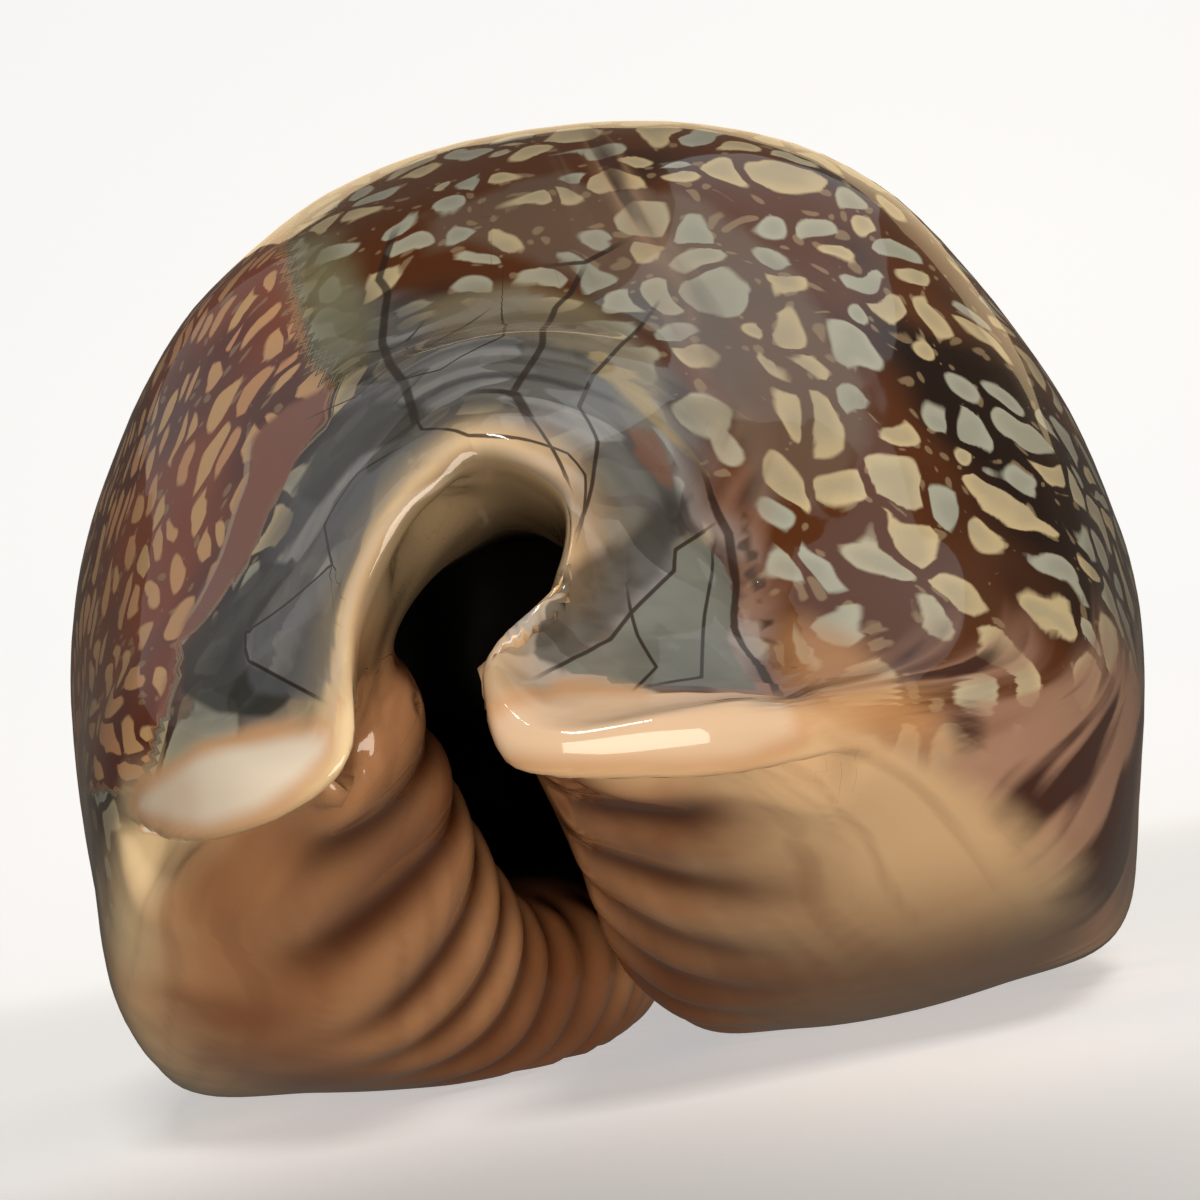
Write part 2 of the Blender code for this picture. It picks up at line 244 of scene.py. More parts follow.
def base_height(y):
    """The base rocks up towards both ends and is flat where the shell rests."""
    rear = np.maximum(REST_REAR_Y - y, 0.0) / 24.0
    front = np.maximum(y - REST_FRONT_Y, 0.0) / 22.0
    return REAR_LIFT * rear ** 1.35 + FRONT_LIFT * front ** 1.7 - REST_SINK


def half_width(side, y):
    """Half the width at the shoulder; the outer lip's side is blunter at its ends."""
    reach = REAR_SHOULDER if y < CROWN_Y else FRONT_SHOULDER
    power = 2.8 if side > 0 else 2.5
    along = min(abs(y - CROWN_Y) / reach, 1.0)
    return WIDTH / 2 * math.sqrt(1.0 - along ** power)


def slot_edges(y):
    """X of the slot's left and right edges: it bends left towards the rear."""
    bend = ease(y, -16.0, -3.0)
    front = ease(y, 14.0, 32.0)
    return -3.8 + 4.1 * bend - 1.2 * front, -0.9 + 3.5 * bend - 1.4 * front


print("base lift at the rear", round(float(base_height(-34.0)), 1), "mm")

# %% [markdown]
# ### Along the two sides
#
# Between the ends every section follows one rule, so it is a function of the
# place along the shell. The left side is the rounded inner lip with the thick
# margin; the right side is the outer lip, which is narrower and turns in.

# %% Side sections
# Each side's section: lifts and lengths in millimetres, the rest as shares of
# the half width. The lip runs out from the slot's edge to the crest it rests on.
Side = namedtuple("Side", "shoulder flank rim rim_lift lip turn edge_lift")
LEFT = Side(shoulder=15.5, flank=0.975, rim=0.89, rim_lift=1.5, lip=-4.4, turn=-1.3, edge_lift=4.2)
RIGHT = Side(shoulder=13.8, flank=0.93, rim=0.845, rim_lift=1.6, lip=5.5, turn=1.9, edge_lift=4.6)
FLANK_RISE = 0.47
SOLE_PLACE = 0.58
SOLE_WIDTH = 0.84
SOLE_LIFT = 0.3
TURN_LIFT = 1.1
THROAT_LIFT = 7.5
THROAT_DEPTH = 2.2
CHAMBER_WIDTH = 0.92
CHAMBER_LENGTH = 0.97
CHAMBER_Z = 16.5


def side_section(side, y):
    """A section of the wall at one place along the left or right side."""
    ground, out = base_height(y), side * half_width(side, y)
    edge = slot_edges(y)[0 if side < 0 else 1]
    cut = LEFT if side < 0 else RIGHT
    crest = edge + cut.lip
    sole = crest + (out * SOLE_WIDTH - crest) * SOLE_PLACE
    return [
        (out, y, cut.shoulder),
        (out * cut.flank, y, ground + (cut.shoulder - ground) * FLANK_RISE),
        (out * cut.rim, y, ground + cut.rim_lift),
        (sole, y, ground + SOLE_LIFT),
        (crest, y, ground),
        (edge + cut.turn, y, ground + TURN_LIFT),
        (edge, y, ground + cut.edge_lift),
        (edge + side * THROAT_DEPTH, y, ground + THROAT_LIFT),
        (out * CHAMBER_WIDTH, y * CHAMBER_LENGTH, CHAMBER_Z),
    ]


print("a left section", len(side_section(-1, 0.0)), "places")

# %% [markdown]
# ### Around the rear notch
#
# The notch is where the shell is hardest to describe: the enamel folds out
# into a collar over the arch, and into a flange on each side of the canal. Its
# sections follow no rule, so they are set one by one, like frames of a boat.

# %% Sections of the rear notch
REAR_ARCH = [
    (-0.5, -27.4, 23.2), (-0.3, -31.4, 20.7), (-0.25, -33.8, 18.7),
    (-0.25, -33.6, 18.0), (-0.3, -32.8, 17.7), (-0.4, -31.5, 17.5),
    (-0.5, -29.0, 17.4), (-0.8, -25.0, 17.8), (-1.0, -19.0, 21.0)]

# Down the left of the notch, over the flange's inner corner and along it
REAR_LEFT = [
    [(-5.4, -26.5, 22.2), (-3.7, -31.0, 19.5), (-2.3, -33.6, 17.8),
     (-2.1, -33.5, 17.2), (-2.0, -32.6, 16.9), (-1.95, -31.3, 16.7),
     (-1.9, -29.0, 16.8), (-2.2, -25.0, 17.4), (-5.0, -19.0, 20.0)],
    [(-9.9, -25.0, 19.8), (-7.0, -30.6, 16.2), (-4.5, -33.5, 14.6),
     (-4.2, -33.4, 14.2), (-4.0, -32.4, 14.0), (-4.0, -31.2, 14.1),
     (-4.0, -29.8, 14.3), (-5.4, -25.0, 15.8), (-9.0, -18.5, 18.0)],
    [(-12.6, -23.4, 18.0), (-8.6, -31.2, 13.7), (-5.0, -34.2, 10.9),
     (-5.0, -33.5, 9.8), (-5.6, -31.6, 9.9), (-4.7, -31.0, 11.2),
     (-3.9, -30.0, 12.6), (-5.8, -24.5, 14.5), (-10.5, -18.0, 17.5)],
    [(-14.7, -21.8, 16.8), (-11.4, -29.8, 13.4), (-7.6, -33.5, 10.6),
     (-7.5, -32.8, 9.2), (-7.2, -30.2, 8.9), (-5.2, -28.6, 9.7),
     (-4.0, -27.6, 11.2), (-6.0, -23.5, 14.0), (-11.5, -17.5, 17.0)],
    [(-16.8, -19.4, 15.9), (-14.1, -26.8, 12.3), (-11.1, -30.6, 10.3),
     (-11.2, -29.7, 8.5), (-9.4, -26.8, 6.7), (-5.9, -25.0, 8.2),
     (-4.1, -24.5, 10.0), (-6.0, -22.0, 13.5), (-12.5, -16.5, 17.0)],
    [(-18.8, -16.2, 15.5), (-17.0, -20.6, 10.2), (-15.6, -22.6, 5.4),
     (-13.4, -21.8, 3.7), (-9.0, -20.4, 3.1), (-5.6, -20.0, 5.4),
     (-4.2, -20.0, 8.2), (-6.4, -19.0, 12.5), (-14.5, -14.0, 17.0)]]

# Down the right of the notch, which pinches in above the right flange
REAR_RIGHT = [
    [(5.2, -26.2, 21.8), (3.2, -31.2, 18.8), (1.9, -33.4, 17.1),
     (1.6, -33.4, 16.6), (1.4, -32.6, 16.3), (1.2, -31.3, 16.2),
     (0.9, -29.2, 16.4), (0.8, -25.0, 17.0), (4.0, -19.0, 20.0)],
    [(9.0, -25.4, 18.6), (4.9, -30.2, 15.6), (1.3, -33.2, 14.7),
     (0.8, -33.0, 14.3), (0.6, -32.2, 14.2), (0.6, -31.0, 14.3),
     (0.7, -29.2, 14.8), (1.0, -25.0, 16.0), (7.0, -18.7, 18.5)],
    [(11.2, -24.6, 16.8), (5.8, -30.2, 13.4), (-0.5, -33.7, 13.1),
     (-1.1, -33.6, 12.6), (-1.15, -32.6, 12.2), (-1.1, -31.5, 12.2),
     (-1.1, -30.0, 12.6), (0.5, -25.0, 15.0), (8.6, -18.5, 17.5)],
    [(13.2, -23.5, 15.5), (7.6, -30.9, 11.7), (-0.7, -34.3, 10.8),
     (-0.6, -33.6, 9.7), (0.3, -32.2, 9.6), (0.2, -31.5, 10.0),
     (-1.1, -30.4, 11.2), (1.0, -24.5, 14.5), (10.0, -18.0, 17.0)],
    [(15.2, -21.8, 14.6), (11.6, -29.3, 11.4), (3.4, -34.0, 10.2),
     (3.3, -33.3, 9.0), (3.9, -31.0, 8.9), (2.7, -29.6, 8.7),
     (-0.9, -28.2, 10.3), (2.0, -23.5, 14.0), (11.6, -17.5, 16.5)],
    [(17.9, -19.9, 14.2), (15.4, -26.4, 10.6), (9.6, -30.8, 9.0),
     (9.0, -29.6, 7.8), (7.0, -27.0, 6.4), (2.2, -26.0, 7.6),
     (-0.9, -25.0, 9.4), (2.5, -22.0, 13.5), (13.2, -16.5, 16.5)],
    [(19.5, -16.6, 13.9), (17.9, -21.2, 9.2), (15.4, -23.6, 5.2),
     (12.0, -22.2, 3.6), (6.0, -21.2, 3.3), (1.5, -20.6, 5.0),
     (-0.9, -20.0, 8.0), (2.5, -19.0, 12.5), (15.0, -14.0, 16.5)]]
print(len(REAR_LEFT) + len(REAR_RIGHT) + 1, "sections around the notch")

# %% [markdown]
# ### The front end
#
# The front end tapers to a small spout. It is alike on both sides, so only half
# of it is set and the other half is mirrored.

# %% Sections of the front end
SIDE_PLACES = (-13.0, -7.5, -1.0, 6.5, 15.0, 23.0)

# The front end is narrower and alike on both sides; x is mirrored by side
FRONT_HALF = [
    [(13.2, 28.5, 13.5), (12.4, 30.2, 9.2), (9.3, 31.6, 5.8),
     (8.0, 30.2, 3.6), (5.0, 29.2, 2.9), (2.6, 28.6, 4.4),
     (1.3, 28.0, 6.4), (3.0, 26.0, 10.0), (9.0, 24.0, 15.0)],
    [(8.2, 31.0, 15.0), (6.0, 33.0, 10.8), (3.4, 34.0, 6.2),
     (3.0, 33.2, 4.6), (2.8, 31.9, 4.2), (1.9, 31.2, 5.6),
     (1.2, 30.4, 7.3), (2.0, 27.5, 10.5), (5.0, 25.0, 16.0)],
    [(4.2, 32.0, 17.0), (3.0, 33.4, 12.4), (1.7, 34.0, 9.3),
     (1.5, 33.6, 8.6), (1.4, 32.9, 8.3), (1.3, 31.8, 8.4),
     (1.1, 30.4, 8.8), (1.0, 27.5, 11.5), (2.5, 25.5, 17.0)]]
FRONT_ARCH = [
    (0.0, 32.4, 18.0), (0.0, 33.6, 13.4), (0.0, 34.0, 10.4),
    (0.0, 33.7, 9.7), (0.0, 32.9, 9.4), (0.0, 31.8, 9.4),
    (0.0, 30.4, 9.6), (0.0, 27.5, 12.0), (0.0, 25.5, 17.5)]


def front_sections(side):
    """The front end's sections on one side, in order towards the front arch."""
    return [[(side * x, y, z) for x, y, z in section] for section in FRONT_HALF]


def cage_sections():
    """All sections in order, anticlockwise from the rear arch seen from above."""
    right_side = REAR_RIGHT + [side_section(1, y) for y in SIDE_PLACES] + front_sections(1)
    left_side = REAR_LEFT + [side_section(-1, y) for y in SIDE_PLACES] + front_sections(-1)
    return np.array([REAR_ARCH] + right_side + [FRONT_ARCH] + left_side[::-1])


sections = cage_sections()
print("cage", sections.shape[0], "sections of", sections.shape[1], "places")

# %% [markdown]
# ### The dome
#
# Read the other way, the same places form rings. Above the shoulder ring the
# dome closes like an egg: each ring shrinks towards the crown while it rises
# along an ellipse. The chamber inside is closed in the same way.

# %% Rings from the crown outside to the ceiling inside
DOME_ANGLES = (75, 58, 40, 22, 10)
CEILING_ANGLES = (35, 65)
EGG_LEVEL = 15.0
COLLAR_FILLET = 3
COLLAR_FRONT_Y = -14.0


def domed_rings(ring, top, angles):
    """Rings that rise from a ring to a point on top, as an egg does."""
    rings = []
    for angle in angles:
        lean = math.radians(angle)
        out = ring.copy()
        out[:, :2] = top[:2] + (ring[:, :2] - top[:2]) * math.cos(lean)
        level = np.minimum(ring[:, 2], EGG_LEVEL)
        climb = top[2] - level
        reach = 1.0 - ((ring[:, 2] - level) / climb) ** 2
        out[:, 2] = level + climb * np.sqrt(1.0 - reach * math.cos(lean) ** 2)
        rings.append(out)
    return rings


def chamber_floor(throat, chamber):
    """A ring that widens the chamber low down, above the thick base."""
    floor = throat * 0.3 + chamber * 0.7
    floor[:, 2] = throat[:, 2] * 0.85 + chamber[:, 2] * 0.15
    return floor


def round_collar(cage):
    """Ease the hollow where the dome meets the rear collar."""
    shoulder = len(DOME_ANGLES) + 1
    stretch = slice(shoulder - 2, shoulder + 1)
    before = cage[shoulder - 3:shoulder]
    after = cage[shoulder - 1:shoulder + 2]
    rear = np.clip((COLLAR_FRONT_Y - cage[shoulder, :, 1]) / 8.0, 0.0, 1.0)[:, None]
    middle = (before + after) / 2
    cage[stretch] += (middle - cage[stretch]) * 0.5 * rear


def cage_rings():
    """The whole cage as rings, from the crown outside to the ceiling inside."""
    rings = sections.transpose(1, 0, 2)
    crown = np.array([0.0, CROWN_Y, HEIGHT])
    ceiling = np.array([0.0, CROWN_Y, HEIGHT - WALL])
    dome = domed_rings(rings[SHOULDER], crown, DOME_ANGLES)
    cave = domed_rings(rings[CHAMBER], ceiling, CEILING_ANGLES)
    floor = chamber_floor(rings[THROAT], rings[CHAMBER])
    count = rings.shape[1]
    cage = np.array([np.tile(crown, (count, 1))] + dome + list(rings[:CHAMBER])
                    + [floor, rings[CHAMBER]] + cave + [np.tile(ceiling, (count, 1))])
    for _ in range(COLLAR_FILLET):
        round_collar(cage)
    return cage


cage = cage_rings()
FIRST = len(DOME_ANGLES) + 1
print("rings", len(cage), "of", cage.shape[1], "points; the shoulder is ring", FIRST)

# %% [markdown]
# ### A smooth skin over the cage
#
# A cubic curve is run through every section and along every ring. Its slopes
# allow for uneven gaps between the points, so that it never bulges beyond
# them. Most of the rows go where the detail is, on the outside and the lips;
# the hidden chamber gets only a few.

# %% Loft
STEPS_ALONG = 40
STEPS_DOME = 8
STEPS_WALL = 12
STEPS_INSIDE = 2
COLUMNS = 640
DOME_SOFTENING = 0.08


def loft(rows, steps, closed):
    """Run a smooth curve through the rows; steps says how many rows each gap gets."""
    count = len(rows)

    def row(i):
        return rows[i % count] if closed else rows[min(max(i, 0), count - 1)]

    def gap(i):
        return np.sqrt(np.maximum(np.linalg.norm(row(i + 1) - row(i), axis=-1), 1e-6))[..., None]

    def slope(i):
        before, after = row(i) - row(i - 1), row(i + 1) - row(i)
        if not closed and i == 0:
            return after / gap(i)
        if not closed and i == count - 1:
            return before / gap(i - 1)
        d0, d1 = gap(i - 1), gap(i)
        return (before / d0 * d1 + after / d1 * d0) / (d0 + d1)

    out = []
    for i in range(count if closed else count - 1):
        start, end = row(i), row(i + 1)
        leave = slope(i) * gap(i)
        arrive = slope(i + 1 if i + 1 < count or not closed else 0) * gap(i)
        for t in np.arange(steps[i]) / steps[i]:
            out.append((2 * t ** 3 - 3 * t ** 2 + 1) * start + (t ** 3 - 2 * t ** 2 + t) * leave
                       + (3 * t ** 2 - 2 * t ** 3) * end + (t ** 3 - t ** 2) * arrive)
    if not closed:
        out.append(row(count - 1))
    return np.array(out)


def soften(ring, width):
    """Even out a closed ring over the given number of points, keeping its size."""
    waves = np.fft.rfft(ring, axis=0)
    order = np.arange(len(waves)) * 2 * math.pi / len(ring)
    keep = np.exp(-0.5 * (np.maximum(order - order[1], 0.0) * width) ** 2)
    return np.fft.irfft(waves * keep[:, None], n=len(ring), axis=0)


def even_columns(grid, guides, columns):
    """Space the columns evenly along the guide rings; also return their section numbers."""
    lengths = sum(np.linalg.norm(np.roll(grid[guide], -1, axis=0) - grid[guide], axis=1) for guide in guides)
    travelled = np.concatenate([[0.0], np.cumsum(lengths)])
    wanted = np.arange(columns) / columns * travelled[-1]
    place = np.interp(wanted, travelled, np.arange(len(lengths) + 1))
    low = place.astype(int) % len(lengths)
    part = (place - place.astype(int))[None, :, None]
    spaced = grid[:, low] * (1 - part) + grid[:, (low + 1) % len(lengths)] * part
    return spaced, place / STEPS_ALONG


ring_steps = [STEPS_DOME] * FIRST + [STEPS_WALL] * THROAT + [STEPS_INSIDE] * (len(cage) - 1 - FIRST - THROAT)
ring_starts = np.concatenate([[0], np.cumsum(ring_steps)])
rings = loft(cage, ring_steps, closed=False)
skin = loft(rings.transpose(1, 0, 2), [STEPS_ALONG] * len(sections), closed=True).transpose(1, 0, 2)
skin, section_at = even_columns(skin, (ring_starts[FIRST + EDGE], ring_starts[FIRST + RIM]), COLUMNS)
for row in range(ring_starts[FIRST]):
    above = 1.0 - row / ring_starts[FIRST]
    skin[row] = soften(skin[row], DOME_SOFTENING * above * COLUMNS)
# How far across the wall each row lies, counted in the section's places
place_at = np.interp(np.arange(len(skin)), ring_starts, np.arange(len(cage)) - FIRST)
print("skin", skin.shape, "triangles", 2 * (len(skin) - 1) * COLUMNS)

# %% [markdown]
# ### Teeth
#
# Both lips carry ridges that cross the way into the slot. They are wide and
# far apart near the notch and crowd together further in. The ridge height is a
# wave along the lip; the same wave is kept as a field, because the grooves
# between the teeth are drawn darker brown, and less so further in.

# %% Teeth
TEETH_LEFT = 25
TEETH_RIGHT = 26
TEETH_START_LEFT = 2.2
TEETH_START_RIGHT = 3.6
TEETH_END = 0.9
TOOTH_HEIGHT = 0.34
WIDE_TEETH = 1.8
FRONT_ARCH_AT = len(REAR_RIGHT) + len(SIDE_PLACES) + len(FRONT_HALF) + 1


def outward_normals(grid):
    """The outward direction at each point of the grid."""
    around = np.roll(grid, -1, axis=1) - np.roll(grid, 1, axis=1)
    across = np.gradient(grid, axis=0)
    normal = np.cross(across, around)
    return normal / np.maximum(np.linalg.norm(normal, axis=-1, keepdims=True), 1e-9)


def tooth_wave(side):
    """0 in the grooves and 1 on the ridges, for each column of one lip."""
    inward = section_at if side > 0 else len(sections) - section_at
    on_side = (section_at < FRONT_ARCH_AT) if side > 0 else (section_at > FRONT_ARCH_AT)
    first = TEETH_START_RIGHT if side > 0 else TEETH_START_LEFT
    last = FRONT_ARCH_AT - TEETH_END
    toothed = on_side & (inward > first) & (inward < last)
    ring = skin[ring_starts[FIRST + EDGE]]
    steps = np.linalg.norm(np.roll(ring, -1, axis=0) - ring, axis=1)
    pitch = 1.0 + (WIDE_TEETH - 1.0) * (1.0 - ease(ring[:, 1], -27.0, -13.0))
    order = slice(None) if side > 0 else slice(None, None, -1)
    travelled = np.cumsum(np.where(toothed, steps / pitch, 0.0)[order])[order]
    phase = travelled / travelled.max() * (TEETH_RIGHT if side > 0 else TEETH_LEFT)
    ridge = 0.5 - 0.5 * np.cos(2 * math.pi * phase)
    start = ease(inward, first, first + 0.6)
    end = 1.0 - ease(inward, last - 0.7, last)
    return ridge, np.where(on_side, start * end, 0.0)


normals = outward_normals(skin)
tooth_height = np.zeros(skin.shape[:2])
groove = np.zeros(skin.shape[:2])
for side in (1, -1):
    ridge, present = tooth_wave(side)
    outer, inner = (CREST - 0.15, TURN + 0.5) if side > 0 else (CREST - 0.5, EDGE + 0.3)
    band = ease(place_at, outer, outer + 1.1) * (1 - ease(place_at, inner, inner + 0.4))
    tooth_height += band[:, None] * (ridge ** 0.8 * present)[None, :]
    from_notch = np.minimum(section_at, len(sections) - section_at)
    groove_darkness = 1.0 - 0.6 * ease(from_notch, 6.2, 8.0)
    groove += band[:, None] * ((1.0 - ridge) ** 2 * present * groove_darkness)[None, :]
skin = skin + normals * (tooth_height * TOOTH_HEIGHT)[..., None]
print("teeth stand up to", round(float(tooth_height.max() * TOOTH_HEIGHT), 2), "mm")

# %% [markdown]
# ### Settle the skin in its frame
#
# The lips' crests are flattened where they touch the ground, and the shell is
# centred over its footprint, which is where the frame's origin is.

# %% Rest and centre
skin[..., 2] = np.maximum(skin[..., 2], 0.0)
middle = (skin.min(axis=(0, 1)) + skin.max(axis=(0, 1))) / 2
skin[..., :2] -= middle[:2]
print("moved by", -middle[:2], "reaches", skin.min(axis=(0, 1)), skin.max(axis=(0, 1)))

# %% [markdown]
# ### One closed mesh
#
# The skin is a sheet of rows and columns, so it starts as a flat grid. Each of
# the grid's vertices is moved to its place in the skin, and a weld closes the
# seam between the last column and the first and draws the two end rows
# together at their poles. Anything known about a point, such as how deep it
# lies in a groove, goes along as an attribute that the materials can read.

# %% Wrap a grid
WELD = 0.000001


def wrap_grid(points, fields):
    """Wrap a grid over the points, with each field as an attribute, and weld it shut."""
    rows, columns = points.shape[0] - 1, points.shape[1]
    bm = bmesh.new()
    bmesh.ops.create_grid(bm, x_segments=columns, y_segments=rows, size=1.0)
    mesh = bpy.data.meshes.new("shell_enamel")
    bm.to_mesh(mesh)
    flat = np.empty(len(mesh.vertices) * 3)
    mesh.vertices.foreach_get("co", flat)
    x, y = flat.reshape(-1, 3)[:, 0], flat.reshape(-1, 3)[:, 1]
    column = np.rint((x + 1) / 2 * columns).astype(int) % columns
    row = np.rint((1 - y) / 2 * rows).astype(int)
    mesh.vertices.foreach_set("co", (points[row, column] * MM).ravel())
    for name, values in fields.items():
        vector = values.ndim == 3
        attribute = mesh.attributes.new(name, "FLOAT_VECTOR" if vector else "FLOAT", "POINT")
        attribute.data.foreach_set("vector" if vector else "value", values[row, column].ravel())
    bm.clear()
    bm.from_mesh(mesh)
    bmesh.ops.remove_doubles(bm, verts=bm.verts[:], dist=WELD)
    bmesh.ops.recalc_face_normals(bm, faces=bm.faces[:])
    print("volume", round(bm.calc_volume(signed=True) / MM ** 3), "cubic mm;",
          sum(not e.is_manifold for e in bm.edges), "open edges;", len(bm.faces), "faces")
    bm.to_mesh(mesh)
    bm.free()
    mesh.shade_smooth()
    return mesh

# %% [markdown]
# ## Where each zone of enamel lies
#
# The enamel changes along lines that can be seen in the photograph: the edge of
# the glaze around the notch, the left flank's edge, the cracks. Each line is
# written as the pixels that it passes, in the photograph's 1200 by 1200 frame.
# The camera turns every pixel into the place on the shell that it shows, so
# from there on a line is a real path on the surface and fits from any side.

# %% From a pixel to the shell
FRAME_SIZE = 1200
FOCAL = CAMERA_LENS / SENSOR * FRAME_SIZE


def seen_by_camera(points):
    """Outward normals, pixel positions, distances ahead, and whether each point faces the camera."""
    normals = outward_normals(points)
    offset = points - np.array(CAMERA_PLACE)
    local = offset @ np.array([right, up, ahead]).T
    spots = FRAME_SIZE / 2 + np.stack([local[..., 0], -local[..., 1]], -1) / local[..., 2:] * FOCAL
    return normals, spots, local[..., 2], (normals * offset).sum(-1) < 0


surface, pixels, depth, facing = seen_by_camera(skin)
print("facing the camera:", int(facing.sum()), "of", facing.size, "points")


def seen_at(pixel):
    """The point that shows at a pixel of the photograph, and the direction it faces."""
    miss = np.linalg.norm(pixels - np.array(pixel), axis=-1)
    near = facing & (miss < max(6.0, miss[facing].min() + 1e-6))
    front = near & (depth < depth[near].min() + 1.0)
    weight = np.where(front, 1.0 / (miss + 0.5) ** 3, 0.0)
    weight = (weight / weight.sum())[..., None]
    return (skin * weight).sum((0, 1)), (surface * weight).sum((0, 1))


# Signed is the distance to the left of the path, travel the way along it from its start
Beside = namedtuple("Beside", "distance signed travel present")
END_FADE = 1.2


def beside(line, closed=False):
    """Where each point lies beside a line of pixels, in millimetres on the shell."""
    seen = [seen_at(pixel) for pixel in (line + line[:1] if closed else line)]
    best = np.full(skin.shape[:2], 1e9)
    signed, travel, same = np.zeros(best.shape), np.zeros(best.shape), np.zeros(best.shape)
    gone = 0.0
    for i, ((start, normal), (end, _)) in enumerate(zip(seen[:-1], seen[1:])):
        step = end - start
        length = np.linalg.norm(step)
        reach = skin - start
        t = (reach @ step) / length ** 2
        low = -9.0 if i == 0 and not closed else 0.0
        high = 9.0 if i == len(seen) - 2 and not closed else 1.0
        t = np.clip(t, low, high)
        gap = reach - t[..., None] * step
        distance = np.linalg.norm(gap, axis=-1)
        closer = distance < best
        best = np.where(closer, distance, best)
        side = np.sign((np.cross(surface, step) * gap).sum(-1))
        flat_gap = gap - (gap * surface).sum(-1, keepdims=True) * surface
        signed = np.where(closer, np.linalg.norm(flat_gap, axis=-1) * side, signed)
        travel = np.where(closer, gone + t * length, travel)
        same = np.where(closer, surface @ normal, same)
        gone += length
    along = ease(travel, -END_FADE, 0.0) * (1.0 - ease(travel, gone, gone + END_FADE))
    return Beside(best, signed, travel, along * ease(same, -0.3, 0.3))


def inside(line):
    """Whether each point shows inside a closed line of pixels."""
    x, y = pixels[..., 0], pixels[..., 1]
    within = np.zeros(x.shape, bool)
    for (x0, y0), (x1, y1) in zip(line, line[1:] + line[:1]):
        crosses = (y0 > y) != (y1 > y)
        slant = (x1 - x0) / (y1 - y0 if y1 != y0 else 1e-9)
        within ^= crosses & (x < x0 + (y - y0) * slant)
    return within & facing & (place_at[:, None] < 3.0)


def zone(line):
    """Millimetres into a closed zone of the surface, and below zero outside it."""
    distance = beside(line, closed=True).distance
    return np.where(inside(line), distance, -distance)


print("the crown's pixel shows", seen_at((600, 130))[0].round(1))

# %% [markdown]
# ### Creases and hollows
#
# Some forms follow lines in the photograph better than they follow sections:
# the undercut below each flange's rim, the valley behind the right flange, and
# the thin bead along the canal. Each one presses the skin in or lifts it
# beside its line. A crease works on the left of its line only and a fold on
# both sides. A swell spreads widely, to bring the outline of the crown and of
# the right corner closer to the photograph's.

# %% Press the skin
# Each press: its kind, its line, lift (below zero presses in) and width in millimetres
PRESSES = {
    "under the left rim": ("crease", [(350, 748), (338, 772), (312, 797), (270, 822), (210, 840),
                                      (165, 838), (132, 820)], -1.0, 3.4),
    "under the right rim": ("crease", [(835, 752), (740, 773), (640, 778), (560, 775), (500, 764)],
                            -0.9, 2.8),
    "valley": ("fold", [(708, 490), (655, 565), (605, 625), (548, 664)], -0.75, 1.3),
    "beyond the plate": ("fold", [(722, 520), (748, 585), (760, 640), (782, 692)], -0.4, 0.6),
    "canal bead": ("fold", [(430, 488), (408, 500), (376, 533), (354, 581), (338, 648), (328, 715)],
                   0.16, 0.4),
    "crown": ("swell", [(460, 150), (540, 140)], 0.55, 4.2),
    "right corner": ("swell", [(1118, 900), (1130, 800)], -0.45, 4.0),
}
CREASE_EDGE = 0.45
lift = np.zeros(skin.shape[:2])
for kind, line, most, width in PRESSES.values():
    by = beside(line)
    if kind == "crease":
        edge = ease(by.signed, 0.0, CREASE_EDGE) * by.present
        shape = edge * (1.0 - ease(by.signed, CREASE_EDGE, width))
    elif kind == "fold":
        shape = np.exp(-(by.signed / width) ** 2) * by.present
    else:
        shape = np.exp(-(by.distance / width) ** 2) * (place_at < 4.0)[:, None]
    lift += shape * most
skin = skin + surface * lift[..., None]
skin[..., 2] = np.maximum(skin[..., 2], 0.0)
surface, pixels, depth, facing = seen_by_camera(skin)
print("pressed in by up to", round(float(-lift.min()), 2), "mm")

# %% [markdown]
# ### The zones
#
# The glaze is a closed zone around the notch. The flank zone is everything on
# the left of one line; beyond the dome, where the camera sees nothing, its edge
# runs on in a plane along the back. The base starts at the margins, which follow
# the sections, so for it the place across the wall is enough.

# %% Zones
GLAZE_LINE = [
    (296, 275), (345, 268), (400, 285), (460, 290), (530, 288), (600, 315), (650, 345), (690, 395),
    (716, 445), (735, 500), (752, 560), (768, 615), (782, 655), (775, 690), (700, 692), (600, 695),
    (520, 705), (478, 735), (466, 690), (480, 640), (540, 575), (556, 525), (520, 480), (470, 455),
    (430, 490), (350, 600), (345, 690), (330, 735), (240, 752), (160, 775), (154, 752), (172, 690),
    (183, 643), (215, 605), (245, 565), (269, 514), (298, 452), (328, 420), (334, 385), (318, 360),
    (302, 320)]
FLANK_LINE = [
    (287, 229), (285, 251), (293, 289), (302, 320), (315, 358), (334, 385), (330, 417), (298, 452),
    (269, 514), (245, 565), (215, 605), (183, 643), (172, 690), (154, 752), (140, 790)]
FLANK_LEAN = 0.15
MAUVE_LINE = [
    (334, 385), (290, 405), (262, 425), (249, 445), (246, 481), (236, 511), (223, 549), (200, 594),
    (183, 620), (162, 690), (154, 752), (172, 690), (183, 643), (215, 605), (245, 565), (269, 514),
    (298, 452), (328, 420)]
RIGHT_RIM_LINE = [
    (478, 722), (492, 704), (520, 696), (560, 688), (640, 690), (720, 692), (775, 694), (806, 712),
    (810, 745), (740, 768), (620, 772), (520, 766), (484, 748)]
MARGIN_LINE = [
    (752, 560), (785, 640), (830, 690), (900, 690), (960, 650), (1040, 640), (1100, 640), (1138, 640)]
LEFT_RIM_LINE = [
    (340, 700), (325, 716), (290, 726), (250, 735), (200, 747), (165, 765), (138, 785), (128, 812),
    (150, 832), (210, 838), (270, 818), (312, 790), (336, 758)]

